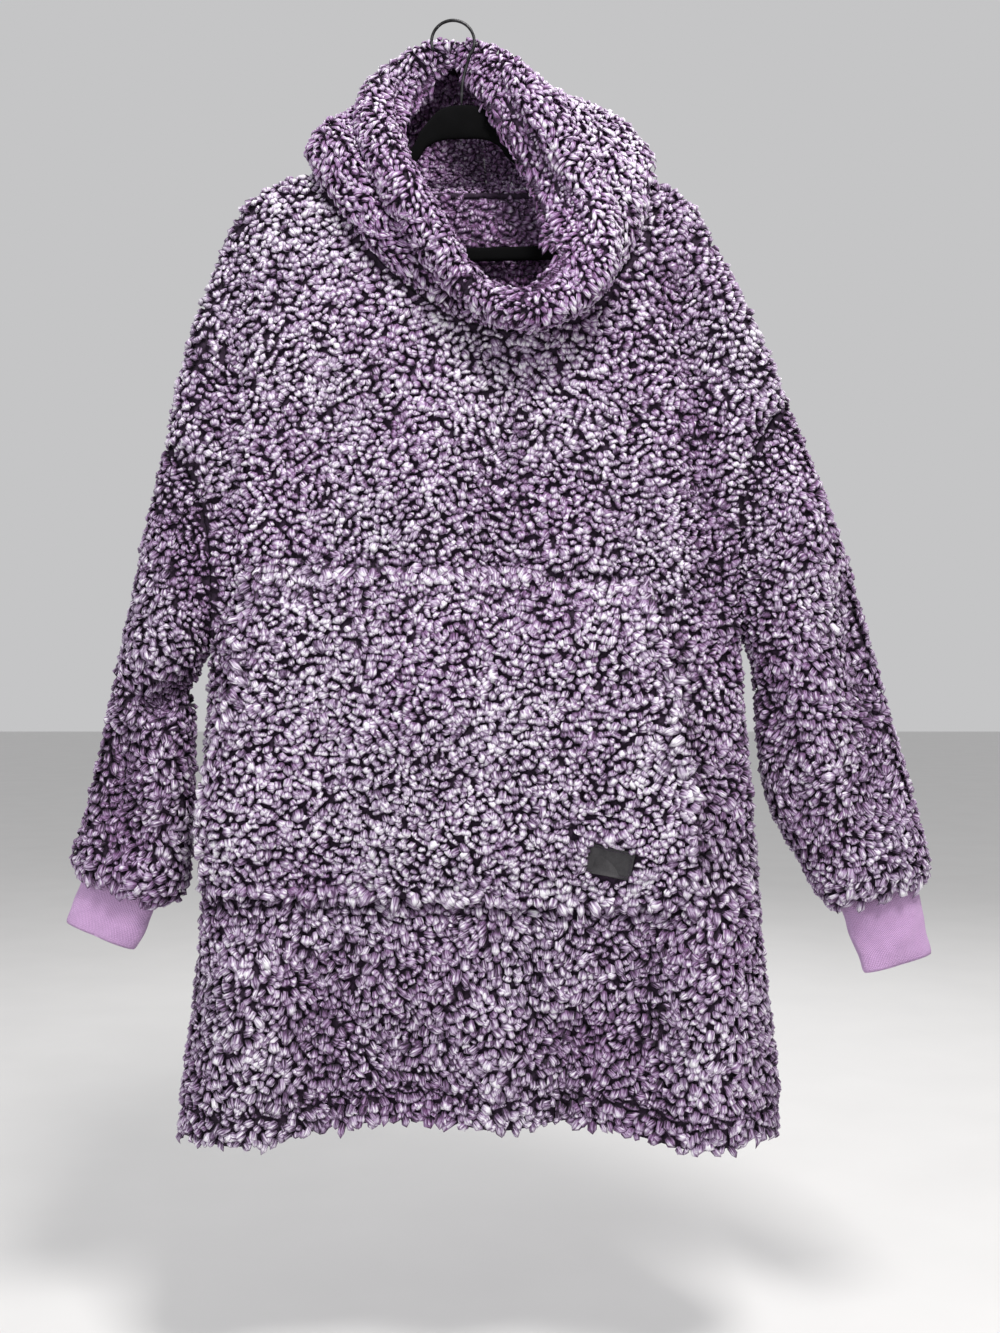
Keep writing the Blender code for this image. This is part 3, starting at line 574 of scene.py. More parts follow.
def smooth(value):
    """Ease a value from 0 to 1."""
    value = np.clip(value, 0, 1)
    return value * value * (3 - 2 * value)


def signed_power(value, power):
    """Raise the size of a value to a power and keep its sign."""
    return np.sign(value) * np.abs(value) ** power


def swell(distance, rounding):
    """Rise of a round edge, from 0 at the edge to 1 a rounding further in."""
    left = 1 - np.clip(distance / rounding, 0, 1)
    return np.sqrt(1 - left * left)


def body_edge(t):
    """Return the body's right and left edge at t: 0 hem, 1 armpit, 2 overarm, 3 neck."""
    t = np.asarray(t, dtype=float)
    side = curve(SIDE_SEAM, np.clip(t, 0, 1) * (len(SIDE_SEAM) - 1))
    armhole = curve(ARMHOLE, np.clip(t - 1, 0, 1) * (len(ARMHOLE) - 1))
    shoulder = curve(SHOULDER, np.clip(t - 2, 0, 1) * (len(SHOULDER) - 1))
    place = t[..., None]
    return np.where(place < 1, side, np.where(place < 2, armhole, shoulder))


def armhole_turn(t):
    """Return the cosine and sine of the turn round the armhole at edge place t."""
    cosine = np.clip(1 - 2 * (np.asarray(t, dtype=float) - 1), -1, 1)
    return cosine, np.sqrt(1 - cosine * cosine)


def fold_height(folds, x, z):
    """Sum the folds' heights at x, z."""
    total = np.zeros_like(x)
    for fold in folds:
        along = np.array([fold.low_x - fold.top_x, fold.low_z - fold.top_z], dtype=float)
        length = np.hypot(along[0], along[1])
        along = along / length
        run = ((x - fold.top_x) * along[0] + (z - fold.top_z) * along[1]) / length
        off = (x - fold.top_x) * along[1] - (z - fold.top_z) * along[0]
        fade = smooth((run + 0.12) / 0.3) * smooth((1.12 - run) / 0.3)
        total = total + fold.height * fade * np.exp(-((off / fold.half_width) ** 2))
    return total


def neck_loop(turn):
    """Return the neckline's point and wall direction at a turn in degrees.

    0 is the centre front, 90 the wearer's right neck point, 180 the back.
    """
    angle = np.radians(turn)
    sine = np.sin(angle)
    cosine = np.cos(angle)
    reach = np.abs(cosine)
    is_front = cosine > 0

    def pick(name):
        return np.where(is_front, FRONT_NECK[name], BACK_NECK[name])

    face = np.where(is_front, -1.0, 1.0)
    x = NECK_X - NECK_HALF_WIDTH * sine + pick("lean") * reach
    y = face * (SEAM_HALF + pick("depth") * reach**0.5)
    z = NECK_Z - pick("drop") * reach**NECK_CURVE
    wall = unit(np.stack([-0.85 * sine, face * reach, 0.5 * np.abs(sine)], axis=-1))
    return np.stack([x, y, z], axis=-1), wall


def panel_points(face, u, t):
    """Return the outer points of the front (face -1) or the back (face +1).

    u runs from the right edge to the left edge, t up the edge as in body_edge.
    """
    edge = body_edge(t)
    right_x, right_z, left_x, left_z = [edge[..., k] for k in range(4)]
    hem_z = SIDE_SEAM[0].right_z
    neck_pull = np.clip((right_z - NECK_START_Z) / (NECK_Z - NECK_START_Z), 0, 1) ** NECK_EASE
    neck_pull = np.where(t >= 3, 1.0, neck_pull)
    neck, _ = neck_loop(90 + face * 180 * u)
    top = SHOULDER[-1]
    line_x = top.right_x + (top.left_x - top.right_x) * u
    line_z = top.right_z + (top.left_z - top.right_z) * u
    x = right_x + (left_x - right_x) * u + neck_pull * (neck[..., 0] - line_x)
    z = right_z + (left_z - right_z) * u + neck_pull * (neck[..., 2] - line_z)

    lobes = FRONT_LOBES if face < 0 else BACK_LOBES
    hem_pull = np.clip(1 - (z - hem_z) / LOBE_FADE, 0, 1)
    inside = swell(np.minimum(u, 1 - u), HEM_CORNER)
    swing = np.zeros_like(x)
    fall = -HEM_RISE * inside
    for lobe in lobes:
        shape = np.exp(-(((x - lobe.x) / lobe.half_width) ** 2))
        fall = fall + lobe.drop * shape * inside
        swing = swing + lobe.swing * shape
    z = z - fall * hem_pull

    column = 1 if face < 0 else 2
    depths = np.array(BODY_DEPTHS, dtype=float)
    full = np.interp(z, depths[:, 0], depths[:, column])
    folds = FRONT_FOLDS + FRONT_CREASES if face < 0 else BACK_FOLDS + BACK_CREASES
    full = full + fold_height(folds, x, z) + swing * hem_pull
    _, armhole_sine = armhole_turn(t)
    is_armhole = (t > 1) & (t < 2)
    edge_depth = SEAM_HALF + np.where(is_armhole, ARMHOLE_DEPTH * armhole_sine**ARMHOLE_FULLNESS, 0)
    rounding = SIDE_ROUNDING + (SHOULDER_ROUNDING - SIDE_ROUNDING) * smooth(t - 1.5)
    inset = np.minimum(u, 1 - u) * (left_x - right_x)
    depth = edge_depth + (full - edge_depth) * swell(inset, rounding)
    neck_depth = np.abs(neck[..., 1])
    near_neck = neck_pull**5
    depth = depth + (neck_depth - depth) * near_neck
    return np.stack([x, face * depth, z], axis=-1)


def crowded(count, amount):
    """Return count + 1 places from 0 to 1, crowded toward both ends by amount."""
    even = np.linspace(0, 1, count + 1)
    return (1 - amount) * even + amount * (0.5 - 0.5 * np.cos(np.pi * even))


def panel_steps():
    """Return the panel's places across and up, closer together at round edges."""
    side = np.linspace(0, 1, SIDE_ROWS + 1)
    armhole = 1 + crowded(ARMHOLE_ROWS, ARMHOLE_CROWDING)
    shoulder = np.linspace(2, 3, SHOULDER_ROWS + 1)
    return crowded(COLUMNS, COLUMN_CROWDING), np.concatenate([side, armhole[1:], shoulder[1:]])


def edge_tangents(t):
    """Return the upward directions of the body's right and left edge at t."""
    step = 1e-3
    t = np.asarray(t, dtype=float)
    stretch = np.minimum(np.floor(np.where(t == 2, 1.5, t)), 2)
    stretch = np.where(t == 1, 1, stretch)
    ahead = body_edge(np.minimum(t + step, stretch + 1 - 1e-6))
    behind = body_edge(np.maximum(t - step, stretch))
    move = ahead - behind
    return unit(move[..., :2]), unit(move[..., 2:])


def grid_normals(points, outward):
    """Return unit normals of a grid of points, turned the way outward gives."""
    across = np.gradient(points, axis=1)
    along = np.gradient(points, axis=0)
    return outward * unit(np.cross(across, along))


def panel_walls(face):
    """Return a body panel's outer points and its wall directions."""
    across, rows = panel_steps()
    u, t = np.meshgrid(across, rows)
    points = panel_points(face, u, t)
    normals = grid_normals(points, -face)
    right, left = edge_tangents(rows)
    cosine, sine = armhole_turn(rows)
    is_armhole = (rows >= 1) & (rows <= 2)
    for column, tangent, side in ((0, right, -1), (-1, left, 1)):
        flat = np.stack([side * tangent[:, 1], 0 * rows, -side * tangent[:, 0]], axis=-1)
        along = np.stack([tangent[:, 0], 0 * rows, tangent[:, 1]], axis=-1)
        front = np.array([0.0, face, 0.0])
        turned = unit(-cosine[:, None] * along + sine[:, None] * front)
        normals[:, column] = np.where(is_armhole[:, None], turned, flat)
    _, neck = neck_loop(90 + face * 180 * across)
    normals[-1] = neck
    return points, normals


def sleeve_walls(rings, folds, side):
    """Return a sleeve's outer points and wall directions, ring by ring."""
    half = ARMHOLE_ROWS
    down = 1 - crowded(half, ARMHOLE_CROWDING)[::-1]
    share = np.concatenate([down, down[-2:0:-1]])
    turn = np.arccos(1 - 2 * share)
    turn[half + 1:] *= -1
    place = 2 - share
    edge = body_edge(place)
    columns = (0, 1) if side < 0 else (2, 3)
    armhole = np.stack([edge[:, columns[0]], edge[:, columns[1]]], axis=-1)
    right, left = edge_tangents(place)
    tangent = right if side < 0 else left
    away_z = -side * tangent[:, 0] * np.sign(tangent[:, 1])
    away = np.stack([side * np.abs(tangent[:, 1]), away_z], axis=-1)
    start = armhole + ARMHOLE_GAP * away
    sine = np.sin(turn)
    bulge = signed_power(sine, ARMHOLE_FULLNESS)
    table = np.array(rings, dtype=float)
    first = np.concatenate([armhole[0], armhole[half], [ARMHOLE_DEPTH, 0.0]])
    table = np.concatenate([first[None], table])
    steps = np.linspace(0, 1, SLEEVE_RINGS + 1) * (len(table) - 1)
    points = []
    for step in steps:
        row = curve(table, step)
        started = np.clip(step, 0, 1)
        line = row[:2] + share[:, None] * (row[2:4] - row[:2])
        straight = armhole[0] + share[:, None] * (armhole[half] - armhole[0])
        bow = (start - straight) * max(0.0, 1 - step / ARMHOLE_FADE) ** 1.5
        flat = line + bow
        depth = SEAM_HALF + row[4] * np.abs(bulge)
        deep = np.sign(-bulge) * depth
        deep = np.where(np.abs(sine) < 1e-6, 0.0, deep)
        fold = fold_height(folds, flat[:, 0], flat[:, 1]) * np.abs(sine) ** 0.7
        deep = deep + started * (np.sign(deep) * fold - row[5])
        points.append(np.stack([flat[:, 0], deep, flat[:, 1]], axis=-1))
    points = np.array(points)
    wrapped = np.concatenate([points[:, -1:], points, points[:, :1]], axis=1)
    normals = grid_normals(wrapped, 1.0)[:, 1:-1]
    centre = points.mean(axis=1, keepdims=True)
    outward = np.sign(np.sum(normals * (points - centre), axis=(1, 2)))
    normals = normals * outward[:, None, None]
    along = np.stack([tangent[:, 0], 0 * turn, tangent[:, 1]], axis=-1)
    normals[0] = unit(np.cos(turn)[:, None] * along - sine[:, None] * np.array([0.0, 1.0, 0.0]))
    return points, normals


def cuff_points(cuff, outset, reach):
    """Return the rings of a cuff's tube, from reach above its top to its end.

    outset moves the tube outward.
    """
    top = np.array([cuff.top_x, cuff.top_z], dtype=float)
    end = np.array([cuff.end_x, cuff.end_z], dtype=float)
    axis = unit(end - top)
    across = np.array([-axis[1], axis[0]])
    length = np.hypot(*(end - top))
    turn = 2 * np.pi * np.arange(CUFF_POINTS) / CUFF_POINTS
    rings = []
    for place in np.linspace(-reach / length, 1, CUFF_RINGS + 1):
        grow = np.clip(place, 0, 1)
        half = cuff.half_top + (cuff.half_end - cuff.half_top) * grow + outset
        deep = cuff.depth_top + (cuff.depth_end - cuff.depth_top) * grow + outset
        centre = top + (end - top) * place
        wide = signed_power(np.cos(turn), CUFF_SQUARENESS) * half
        y = signed_power(np.sin(turn), CUFF_SQUARENESS) * deep
        flat = centre + wide[:, None] * across
        rings.append(np.stack([flat[:, 0], y, flat[:, 1]], axis=-1))
    return np.array(rings)


def around(points):
    """Return the directions along a closed loop of points."""
    return unit(np.roll(points, -1, axis=0) - np.roll(points, 1, axis=0))


def rim_frame(turn):
    """Return the rim roll's middle, outward and forward directions at turns in degrees."""
    angle = np.radians(turn)
    power = 2 / RIM_SQUARENESS
    long_share = signed_power(np.cos(angle), power)
    short_share = -signed_power(np.sin(angle), power)
    s = RIM_LONG * long_share
    p = RIM_SHORT * short_share
    x = RIM_X + s * math.sin(RIM_LEAN) + p * math.cos(RIM_LEAN)
    tip = np.where(long_share > 0, RIM_TIP_LOW, RIM_TIP_TOP)
    y = RIM_Y - tip * long_share * np.abs(long_share) ** 0.6
    y = y + RIM_SWEEP * short_share * (1 - long_share * long_share)
    z = RIM_Z - s * math.cos(RIM_LEAN) + p * math.sin(RIM_LEAN)
    middle = np.stack([x, y, z], axis=-1)
    forward = unit(np.array([0.0, -RIM_LONG, RIM_TIP_LOW]))
    outward = unit(np.cross(around(middle), forward))
    centre = np.array([RIM_X, RIM_Y, RIM_Z])
    flip = np.sign(np.sum(outward * (middle - centre), axis=-1, keepdims=True))
    return middle, outward * flip, forward + 0 * middle


def hood_turns():
    """Return the neck turns of the hood's columns, the same as the panels' columns."""
    across = crowded(COLUMNS, COLUMN_CROWDING)
    front = 90 - 180 * across
    back = 90 + 180 * across
    middle = COLUMNS // 2
    return np.concatenate([front[middle::-1], back[1:], front[-2:middle:-1] + 360])


def turned_out(directions, points):
    """Flip the directions that point into the hood."""
    middle = np.array([NECK_X, 0.0, RIM_Z])
    sign = np.sign(np.sum(directions * (points - middle), axis=-1, keepdims=True))
    return directions * sign


def hood_walls(turns):
    """Return outer points, inner points and the roll's tip round the whole hood."""
    sections = np.array(HOOD_SECTIONS, dtype=float)
    full_turn = np.array([360, 360] + [0] * (len(Section._fields) - 2))
    table = np.concatenate([sections[-1:] - full_turn, sections, sections[:2] + full_turn])
    places = np.linspace(0, len(table) - 1, 600)
    row = curve(table, np.interp(turns, curve(table, places)[:, 0], places))
    neck, neck_wall = neck_loop(turns)
    start = neck + np.array([0.0, 0.0, HOOD_GAP])
    middle, outward, forward = rim_frame(row[:, 1])
    radius = row[:, 2:3]

    def roll(turn):
        angle = np.radians(row[:, 3:4] - turn)
        flap = row[:, 10:11] * math.exp(-(((turn - FLAP_TURN) / FLAP_SPREAD) ** 2))
        return middle + (radius * np.sin(angle) - flap) * outward + radius * np.cos(angle) * forward

    stitch = roll(ROLL_TURNS[0])
    low = start + (stitch - start) / 3 + row[:, 4:7]
    high = start + (stitch - start) * 2 / 3 + row[:, 7:10]
    low_wall = turned_out(unit(np.cross(high - start, around(low))), low)
    high_wall = turned_out(unit(np.cross(stitch - low, around(high))), high)
    outer_keys = np.stack([start, low, high, stitch, roll(ROLL_KEY)])
    inner_keys = np.stack([
        start - SHERPA * neck_wall,
        low - SHERPA * low_wall,
        high - SHERPA * high_wall,
        roll(-ROLL_TURNS[0]),
        roll(-ROLL_KEY),
    ])
    share = np.linspace(0, 3, HOOD_ROWS + 1)
    walls = []
    for keys, side in ((outer_keys, 1), (inner_keys, -1)):
        cloth = curve(keys.reshape(5, -1), share).reshape(len(share), -1, 3)
        walls.append(np.concatenate([cloth, [roll(side * turn) for turn in ROLL_TURNS[1:]]]))
    return walls[0], walls[1], roll(180)


def panel_place(x, z):
    """Find u and t of the front's point at x, z, by halving."""
    low = np.zeros_like(x)
    high = np.full_like(x, 2.9)
    u = np.full_like(x, 0.5)
    for _ in range(26):
        t = (low + high) / 2
        for _ in range(3):
            found = panel_points(-1, u, t)
            width = body_edge(t)[..., 2] - body_edge(t)[..., 0]
            u = np.clip(u + (x - found[..., 0]) / width, 0.001, 0.999)
        found = panel_points(-1, u, t)
        is_low = found[..., 2] < z
        low = np.where(is_low, t, low)
        high = np.where(is_low, high, t)
    return u, (low + high) / 2


def front_surface(x, z):
    """Return points and normals of the front's outer surface at x, z."""
    u, t = panel_place(x, z)
    step = 0.004
    here = panel_points(-1, u, t)
    across = panel_points(-1, u + step, t) - panel_points(-1, u - step, t)
    along = panel_points(-1, u, t + step) - panel_points(-1, u, t - step)
    return here, unit(np.cross(across, along))


def pocket_top_step(x):
    """Return how much lower the pocket's top lies at x, past its step."""
    return POCKET_TOP_STEP * smooth((x - POCKET_TOP_STEP_X + 12) / 24)


def pocket_room(share):
    """Return how far the pocket stands off the front, at a share of its height."""
    return POCKET_ROOM * smooth(np.minimum(share, 1 - share) / POCKET_SLOPE)


def pocket_flat(a, b):
    """Return x and z of the pocket at a across and b up."""
    sides = np.array(POCKET_SIDES, dtype=float)
    bottom = sides[0, 0]
    top = sides[-1, 0]
    level = bottom + (top - bottom) * b
    right_x = np.interp(level, sides[:, 0], sides[:, 1])
    left_x = np.interp(level, sides[:, 0], sides[:, 2])
    x = right_x + (left_x - right_x) * a
    z = level - b * pocket_top_step(x) - (1 - b) * POCKET_SAG * (2 * a - 0.6)
    return x, z


def hanger_place(x, z):
    """Place a point of the hanger's own drawing, centred and tilted."""
    dx = np.asarray(x, dtype=float)
    dz = np.asarray(z, dtype=float) - HANGER_ROWS[0].out_z
    turned_x = dx * math.cos(HANGER_TILT) - dz * math.sin(HANGER_TILT)
    turned_z = dx * math.sin(HANGER_TILT) + dz * math.cos(HANGER_TILT)
    return HANGER_X + turned_x, HANGER_ROWS[0].out_z + turned_z


# Measuring and scattering


def arc_from_start(points, axis):
    """Return each point's distance along its row or column from the first point."""
    step = np.linalg.norm(np.diff(points, axis=axis), axis=-1)
    first = np.zeros_like(np.take(step, [0], axis=axis))
    return np.concatenate([first, np.cumsum(step, axis=axis)], axis=axis)


def edge_distances(points):
    """Return each point's distance from the grid's first and last row and column."""
    down = arc_from_start(points, 0)
    across = arc_from_start(points, 1)
    return {
        "first_row": down,
        "last_row": down[-1:] - down,
        "first_column": across,
        "last_column": across[:, -1:] - across,
    }


def waves(points, length, seed):
    """Return soft noise from about -1 to 1 that changes over the given length."""
    rng = np.random.default_rng(seed)
    total = np.zeros(len(points))
    count = 7
    for _ in range(count):
        way = unit(rng.normal(size=3))
        reach = length * rng.uniform(0.7, 1.6)
        total += np.sin(2 * np.pi * (points @ way) / reach + rng.uniform(0, 2 * np.pi))
    return total / math.sqrt(count)


def scatter(points, normals, spacing, seed, turn_row):
    """Spread places over a grid of points, no two closer than the spacing allows.

    Rows from turn_row on lie on the cloth's other side and keep apart by themselves.
    Return the places' rows and columns in the grid, their points and normals.
    """
    rng = np.random.default_rng(seed)
    low = points[:-1, :-1]
    diagonal = points[1:, 1:] - low
    other = points[1:, :-1] - points[:-1, 1:]
    area = np.linalg.norm(np.cross(diagonal, other), axis=-1).ravel() / 2
    tries = int(CANDIDATES * area.sum() / spacing**2)
    cell = rng.choice(len(area), size=tries, p=area / area.sum())
    rows, columns = np.divmod(cell, low.shape[1])
    a, b = rng.random((2, tries))

    def between(grid):
        return (
            grid[rows, columns] * ((1 - a) * (1 - b))[:, None]
            + grid[rows + 1, columns] * (a * (1 - b))[:, None]
            + grid[rows, columns + 1] * ((1 - a) * b)[:, None]
            + grid[rows + 1, columns + 1] * (a * b)[:, None]
        )

    place = between(points)
    apart = spacing * LOCK_APART
    probe = place + OTHER_SIDE * (rows >= turn_row)[:, None]
    cells = np.floor(probe / apart).astype(int)
    taken = {}
    kept = []
    offsets = [(i, j, k) for i in (-1, 0, 1) for j in (-1, 0, 1) for k in (-1, 0, 1)]
    limit = apart * apart
    for index, ((i, j, k), (x, y, z)) in enumerate(zip(cells.tolist(), probe.tolist())):
        clear = True
        for di, dj, dk in offsets:
            other_place = taken.get((i + di, j + dj, k + dk))
            if other_place is not None:
                dx = other_place[0] - x
                dy = other_place[1] - y
                dz = other_place[2] - z
                if dx * dx + dy * dy + dz * dz < limit:
                    clear = False
                    break
        if clear:
            taken[(i, j, k)] = (x, y, z)
            kept.append(index)
    kept = np.array(kept)
    normal = unit(between(normals)[kept])
    return rows[kept] + a[kept], columns[kept] + b[kept], place[kept], normal


def at_place(grid, row, column):
    """Return a grid's value at fractional rows and columns."""
    r = np.minimum(row.astype(int), grid.shape[0] - 2)
    c = np.minimum(column.astype(int), grid.shape[1] - 2)
    a = row - r
    b = column - c
    return (
        grid[r, c] * (1 - a) * (1 - b)
        + grid[r + 1, c] * a * (1 - b)
        + grid[r, c + 1] * (1 - a) * b
        + grid[r + 1, c + 1] * a * b
    )


def least_at(edge, row, column, *sides):
    """Return the least of the distances from the named sides of a grid."""
    return np.minimum.reduce([at_place(edge[side], row, column) for side in sides])


# Meshes


def face_outward(mesh):
    """Turn a closed mesh's faces outward."""
    work = bmesh.new()
    work.from_mesh(mesh)
    bmesh.ops.recalc_face_normals(work, faces=work.faces)
    work.to_mesh(mesh)
    work.free()


def grid_corners(rows, columns, row_spans, column_spans):
    """Return the four corners of each face over a grid of numbered points.

    With as many spans as rows or columns, the grid closes on itself that way.
    """
    r, c = np.meshgrid(np.arange(row_spans), np.arange(column_spans), indexing="ij")
    s, d = (r + 1) % rows, (c + 1) % columns
    corners = (r * columns + c, r * columns + d, s * columns + d, s * columns + c)
    return [corner.ravel() for corner in corners]


def plain_mesh(name, points, faces):
    """Return a smooth mesh from points in millimetres and lists of faces."""
    mesh = bpy.data.meshes.new(name)
    mesh.from_pydata((points.reshape(-1, 3) * MM).tolist(), [], faces)
    face_outward(mesh)
    mesh.shade_smooth()
    return mesh


def fast_mesh(name, vertices, loops, loop_starts, uv):
    """Return a smooth mesh from flat arrays of vertices, loops and face starts."""
    mesh = bpy.data.meshes.new(name)
    mesh.vertices.add(len(vertices))
    mesh.vertices.foreach_set("co", (vertices * MM).astype(np.float32).ravel())
    mesh.loops.add(len(loops))
    mesh.loops.foreach_set("vertex_index", loops.astype(np.int32))
    mesh.polygons.add(len(loop_starts))
    mesh.polygons.foreach_set("loop_start", loop_starts.astype(np.int32))
    mesh.update(calc_edges=True)
    layer = mesh.uv_layers.new(name="UVMap")
    layer.data.foreach_set("uv", uv.astype(np.float32).ravel())
    mesh.shade_smooth()
    return mesh


def lock_mesh(name, root, normal, hang, height, width, reach, bright, pink, seed):
    """Return one mesh of many locks of pile, each a lobed curl of its own size."""
    rng = np.random.default_rng(seed)
    count = len(root)
    side = unit(np.cross(normal, hang))
    bend = rng.normal(0, BEND_SPREAD, count) * reach
    rings = [*LOCK_RINGS, LOCK_TIP]
    turns = 2 * np.pi * np.arange(LOCK_SIDES) / LOCK_SIDES + rng.uniform(0, 2 * np.pi, (count, 1))
    vertices = []
    frost = []
    for ring in rings:
        lean = math.radians(ring.lean)
        second = math.cos(lean) * hang - math.sin(lean) * normal
        middle = root + (ring.out * height)[:, None] * normal
        middle = middle + (ring.along * reach)[:, None] * hang + (ring.along * bend)[:, None] * side
        if ring is LOCK_TIP:
            vertices.append(middle[:, None])
            frost.append(np.full((count, 1), ring.frost))
            continue
        across = (ring.wide * width)[:, None, None] * np.cos(turns)[..., None] * side[:, None]
        deep = (ring.deep * width)[:, None, None] * np.sin(turns)[..., None] * second[:, None]
        vertices.append(middle[:, None] + across - deep)
        # Frost by ring, plus painted light on a leaning ring's top side and painted shade on its
        # underside
        frost.append(ring.frost + TOP_SIDE_LIGHT * math.sin(lean) * np.sin(turns))
    vertices = np.concatenate(vertices, axis=1)
    frost = np.concatenate(frost, axis=1)
    per_lock = vertices.shape[1]

    quads = []
    quad_uv = []
    tips = []
    tip_uv = []
    last = len(LOCK_RINGS) - 1
    for s in range(LOCK_SIDES):
        e = (s + 1) % LOCK_SIDES
        u, v = s / LOCK_SIDES, (s + 1) / LOCK_SIDES
        for r in range(last):
            low, high = LOCK_LEVELS[r:r + 2]
            a = r * LOCK_SIDES
            b = a + LOCK_SIDES
            quads.append([a + s, a + e, b + e, b + s])
            quad_uv.append([(u, low), (v, low), (v, high), (u, high)])
        a = last * LOCK_SIDES
        tips.append([a + s, a + e, per_lock - 1])
        tip_uv.append([(u, LOCK_LEVELS[last]), (v, LOCK_LEVELS[last]), ((u + v) / 2, 1.0)])
    start = (np.arange(count) * per_lock)[:, None]
    loops = np.concatenate([(start + np.array(faces).ravel()).ravel() for faces in (quads, tips)])
    shift = rng.uniform(0, 60, (count, 1, 2))
    uv = np.concatenate([
        (shift + np.array(places).reshape(1, -1, 2)).reshape(-1, 2) for places in (quad_uv, tip_uv)
    ])
    quad_count = count * len(quads)
    starts = np.concatenate([
        4 * np.arange(quad_count),
        4 * quad_count + 3 * np.arange(count * len(tips)),
    ])
    mesh = fast_mesh(name, vertices.reshape(-1, 3), loops, starts, uv)
    colour = np.ones((count, per_lock, 4))
    colour[..., 0] = frost
    colour[..., 1] = bright[:, None]
    colour[..., 2] = pink[:, None]
    layer = mesh.attributes.new("pile", "FLOAT_COLOR", "POINT")
    layer.data.foreach_set("color", colour.astype(np.float32).ravel())
    return mesh


def grow_pile(name, points, normals, pile, seed, shape, turn_row=math.inf):
    """Grow locks of pile on a grid of backing points and return their object.

    shape takes the places' rows, columns and points and returns the shares of
    height, width and hang, the painted light and shade added to the lightness, and which are kept.
    """
    sizes = bpy.context.scene.hoodie_sherpa
    spacing = pile.spacing * sizes.lock_spacing
    row, column, place, normal = scatter(points, normals, spacing, seed, turn_row)
    tall, wide, long, light, kept = shape(row, column, place)
    place, normal = place[kept], normal[kept]
    tall, wide, long, light = tall[kept], wide[kept], long[kept], light[kept]
    rng = np.random.default_rng(seed + 1)
    count = len(place)
    down = np.array([0.0, 0.0, -1.0]) + HANG_TILT * normal
    hang = unit(down - np.sum(down * normal, axis=1, keepdims=True) * normal)
    side = np.cross(normal, hang)
    swirl = SWIRL * waves(place, SWIRL_WAVE, seed + 2) + rng.normal(0, SWIRL_SPREAD, count)
    hang = np.cos(swirl)[:, None] * hang + np.sin(swirl)[:, None] * side

    def varied(share):
        return rng.normal(1, share.spread, count).clip(share.least, share.most)

    height = pile.height * tall * sizes.lock_length * varied(LOCK_HEIGHTS)
    width = pile.half_width * wide * varied(LOCK_WIDTHS)
    reach = pile.hang * long * sizes.lock_length * varied(LOCK_REACHES)
    patch = LIGHT_WAVES * waves(place, LIGHT_WAVE_LONG, seed + 3)
    patch = patch + LIGHT_WAVES * waves(place, LIGHT_WAVE_SHORT, seed + 4)
    bright = (pile.light + light + patch + rng.normal(0, LIGHT_SPREAD, count)).clip(0, 1)
    tint = pile.pink + PINK_WAVES * waves(place, PINK_WAVE, seed + 5)
    pink = (tint + rng.normal(0, PINK_SPREAD, count)).clip(0, 1)
    mesh = lock_mesh(name, place, normal, hang, height, width, reach, bright, pink, seed + 6)
    return link_object(name, mesh, material_of("Frosted Sherpa Pile"))


def link_object(name, mesh, *materials):
    """Link a mesh as an object with its materials."""
    thing = bpy.data.objects.new(name, mesh)
    bpy.context.scene.collection.objects.link(thing)
    for material in materials:
        mesh.materials.append(material)
    return thing


def wall_mesh(name, outer, inner, closed=False):
    """Return a wall between two grids of points, with the inner faces in slot 1."""
    rows, columns = outer.shape[:2]
    vertices = np.concatenate([outer.reshape(-1, 3), inner.reshape(-1, 3)])
    second = rows * columns
    spans = columns if closed else columns - 1
    a, b, f, e = grid_corners(rows, columns, rows - 1, spans)
    sheets = [np.stack([a, b, f, e], axis=-1), second + np.stack([e, f, b, a], axis=-1)]
    c = np.arange(spans)
    d = (c + 1) % columns
    last = (rows - 1) * columns
    sheets.append(np.stack([second + c, second + d, d, c], axis=-1))
    sheets.append(np.stack([last + c, last + d, second + last + d, second + last + c], axis=-1))
    if not closed:
        low = np.arange(rows - 1) * columns
        high = low + columns
        far = columns - 1
        sheets.append(np.stack([low, high, second + high, second + low], axis=-1))
        ends = [low + far, second + low + far, second + high + far, high + far]
        sheets.append(np.stack(ends, axis=-1))
    quads = np.concatenate(sheets)
    inside = np.zeros(len(quads), dtype=np.int32)
    inside[len(sheets[0]):len(sheets[0]) + len(sheets[1])] = 1
    across = arc_from_start(outer, 1).ravel() * MM
    along = arc_from_start(outer, 0).ravel() * MM
    flat = np.stack([across, along], axis=-1)
    flat = np.concatenate([flat, flat])
    mesh = fast_mesh(name, vertices, quads.ravel(), 4 * np.arange(len(quads)), flat[quads.ravel()])
    mesh.polygons.foreach_set("material_index", inside)
    face_outward(mesh)
    return mesh


def link_cloth(name, outer, inner, closed=False):
    """Link a wall of backing, with pressed pile on its inside."""
    mesh = wall_mesh(name, outer, inner, closed)
    return link_object(name, mesh, material_of("Sherpa Backing"), material_of("Sherpa Inside"))


def backing(name, points, normals, closed=False):
    """Build a piece's cloth, inside the solid's wall, from its outer surface."""
    outer = points - BACKING_DEPTH * normals
    inner = points - (SHERPA - LINING_DEPTH) * normals
    return link_cloth(name, outer, inner, closed), outer


def settle_piece(piece, slot, *nodes):
    """Make a piece ride on the body and stand for CAD nodes; slot is not used."""
    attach(piece, "root")
    if nodes:
        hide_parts(*nodes)


def near(distance, centre, half_width):
    """Return 1 at a distance and 0 a half width off it, softly."""
    return np.exp(-(((distance - centre) / half_width) ** 2))


# Materials


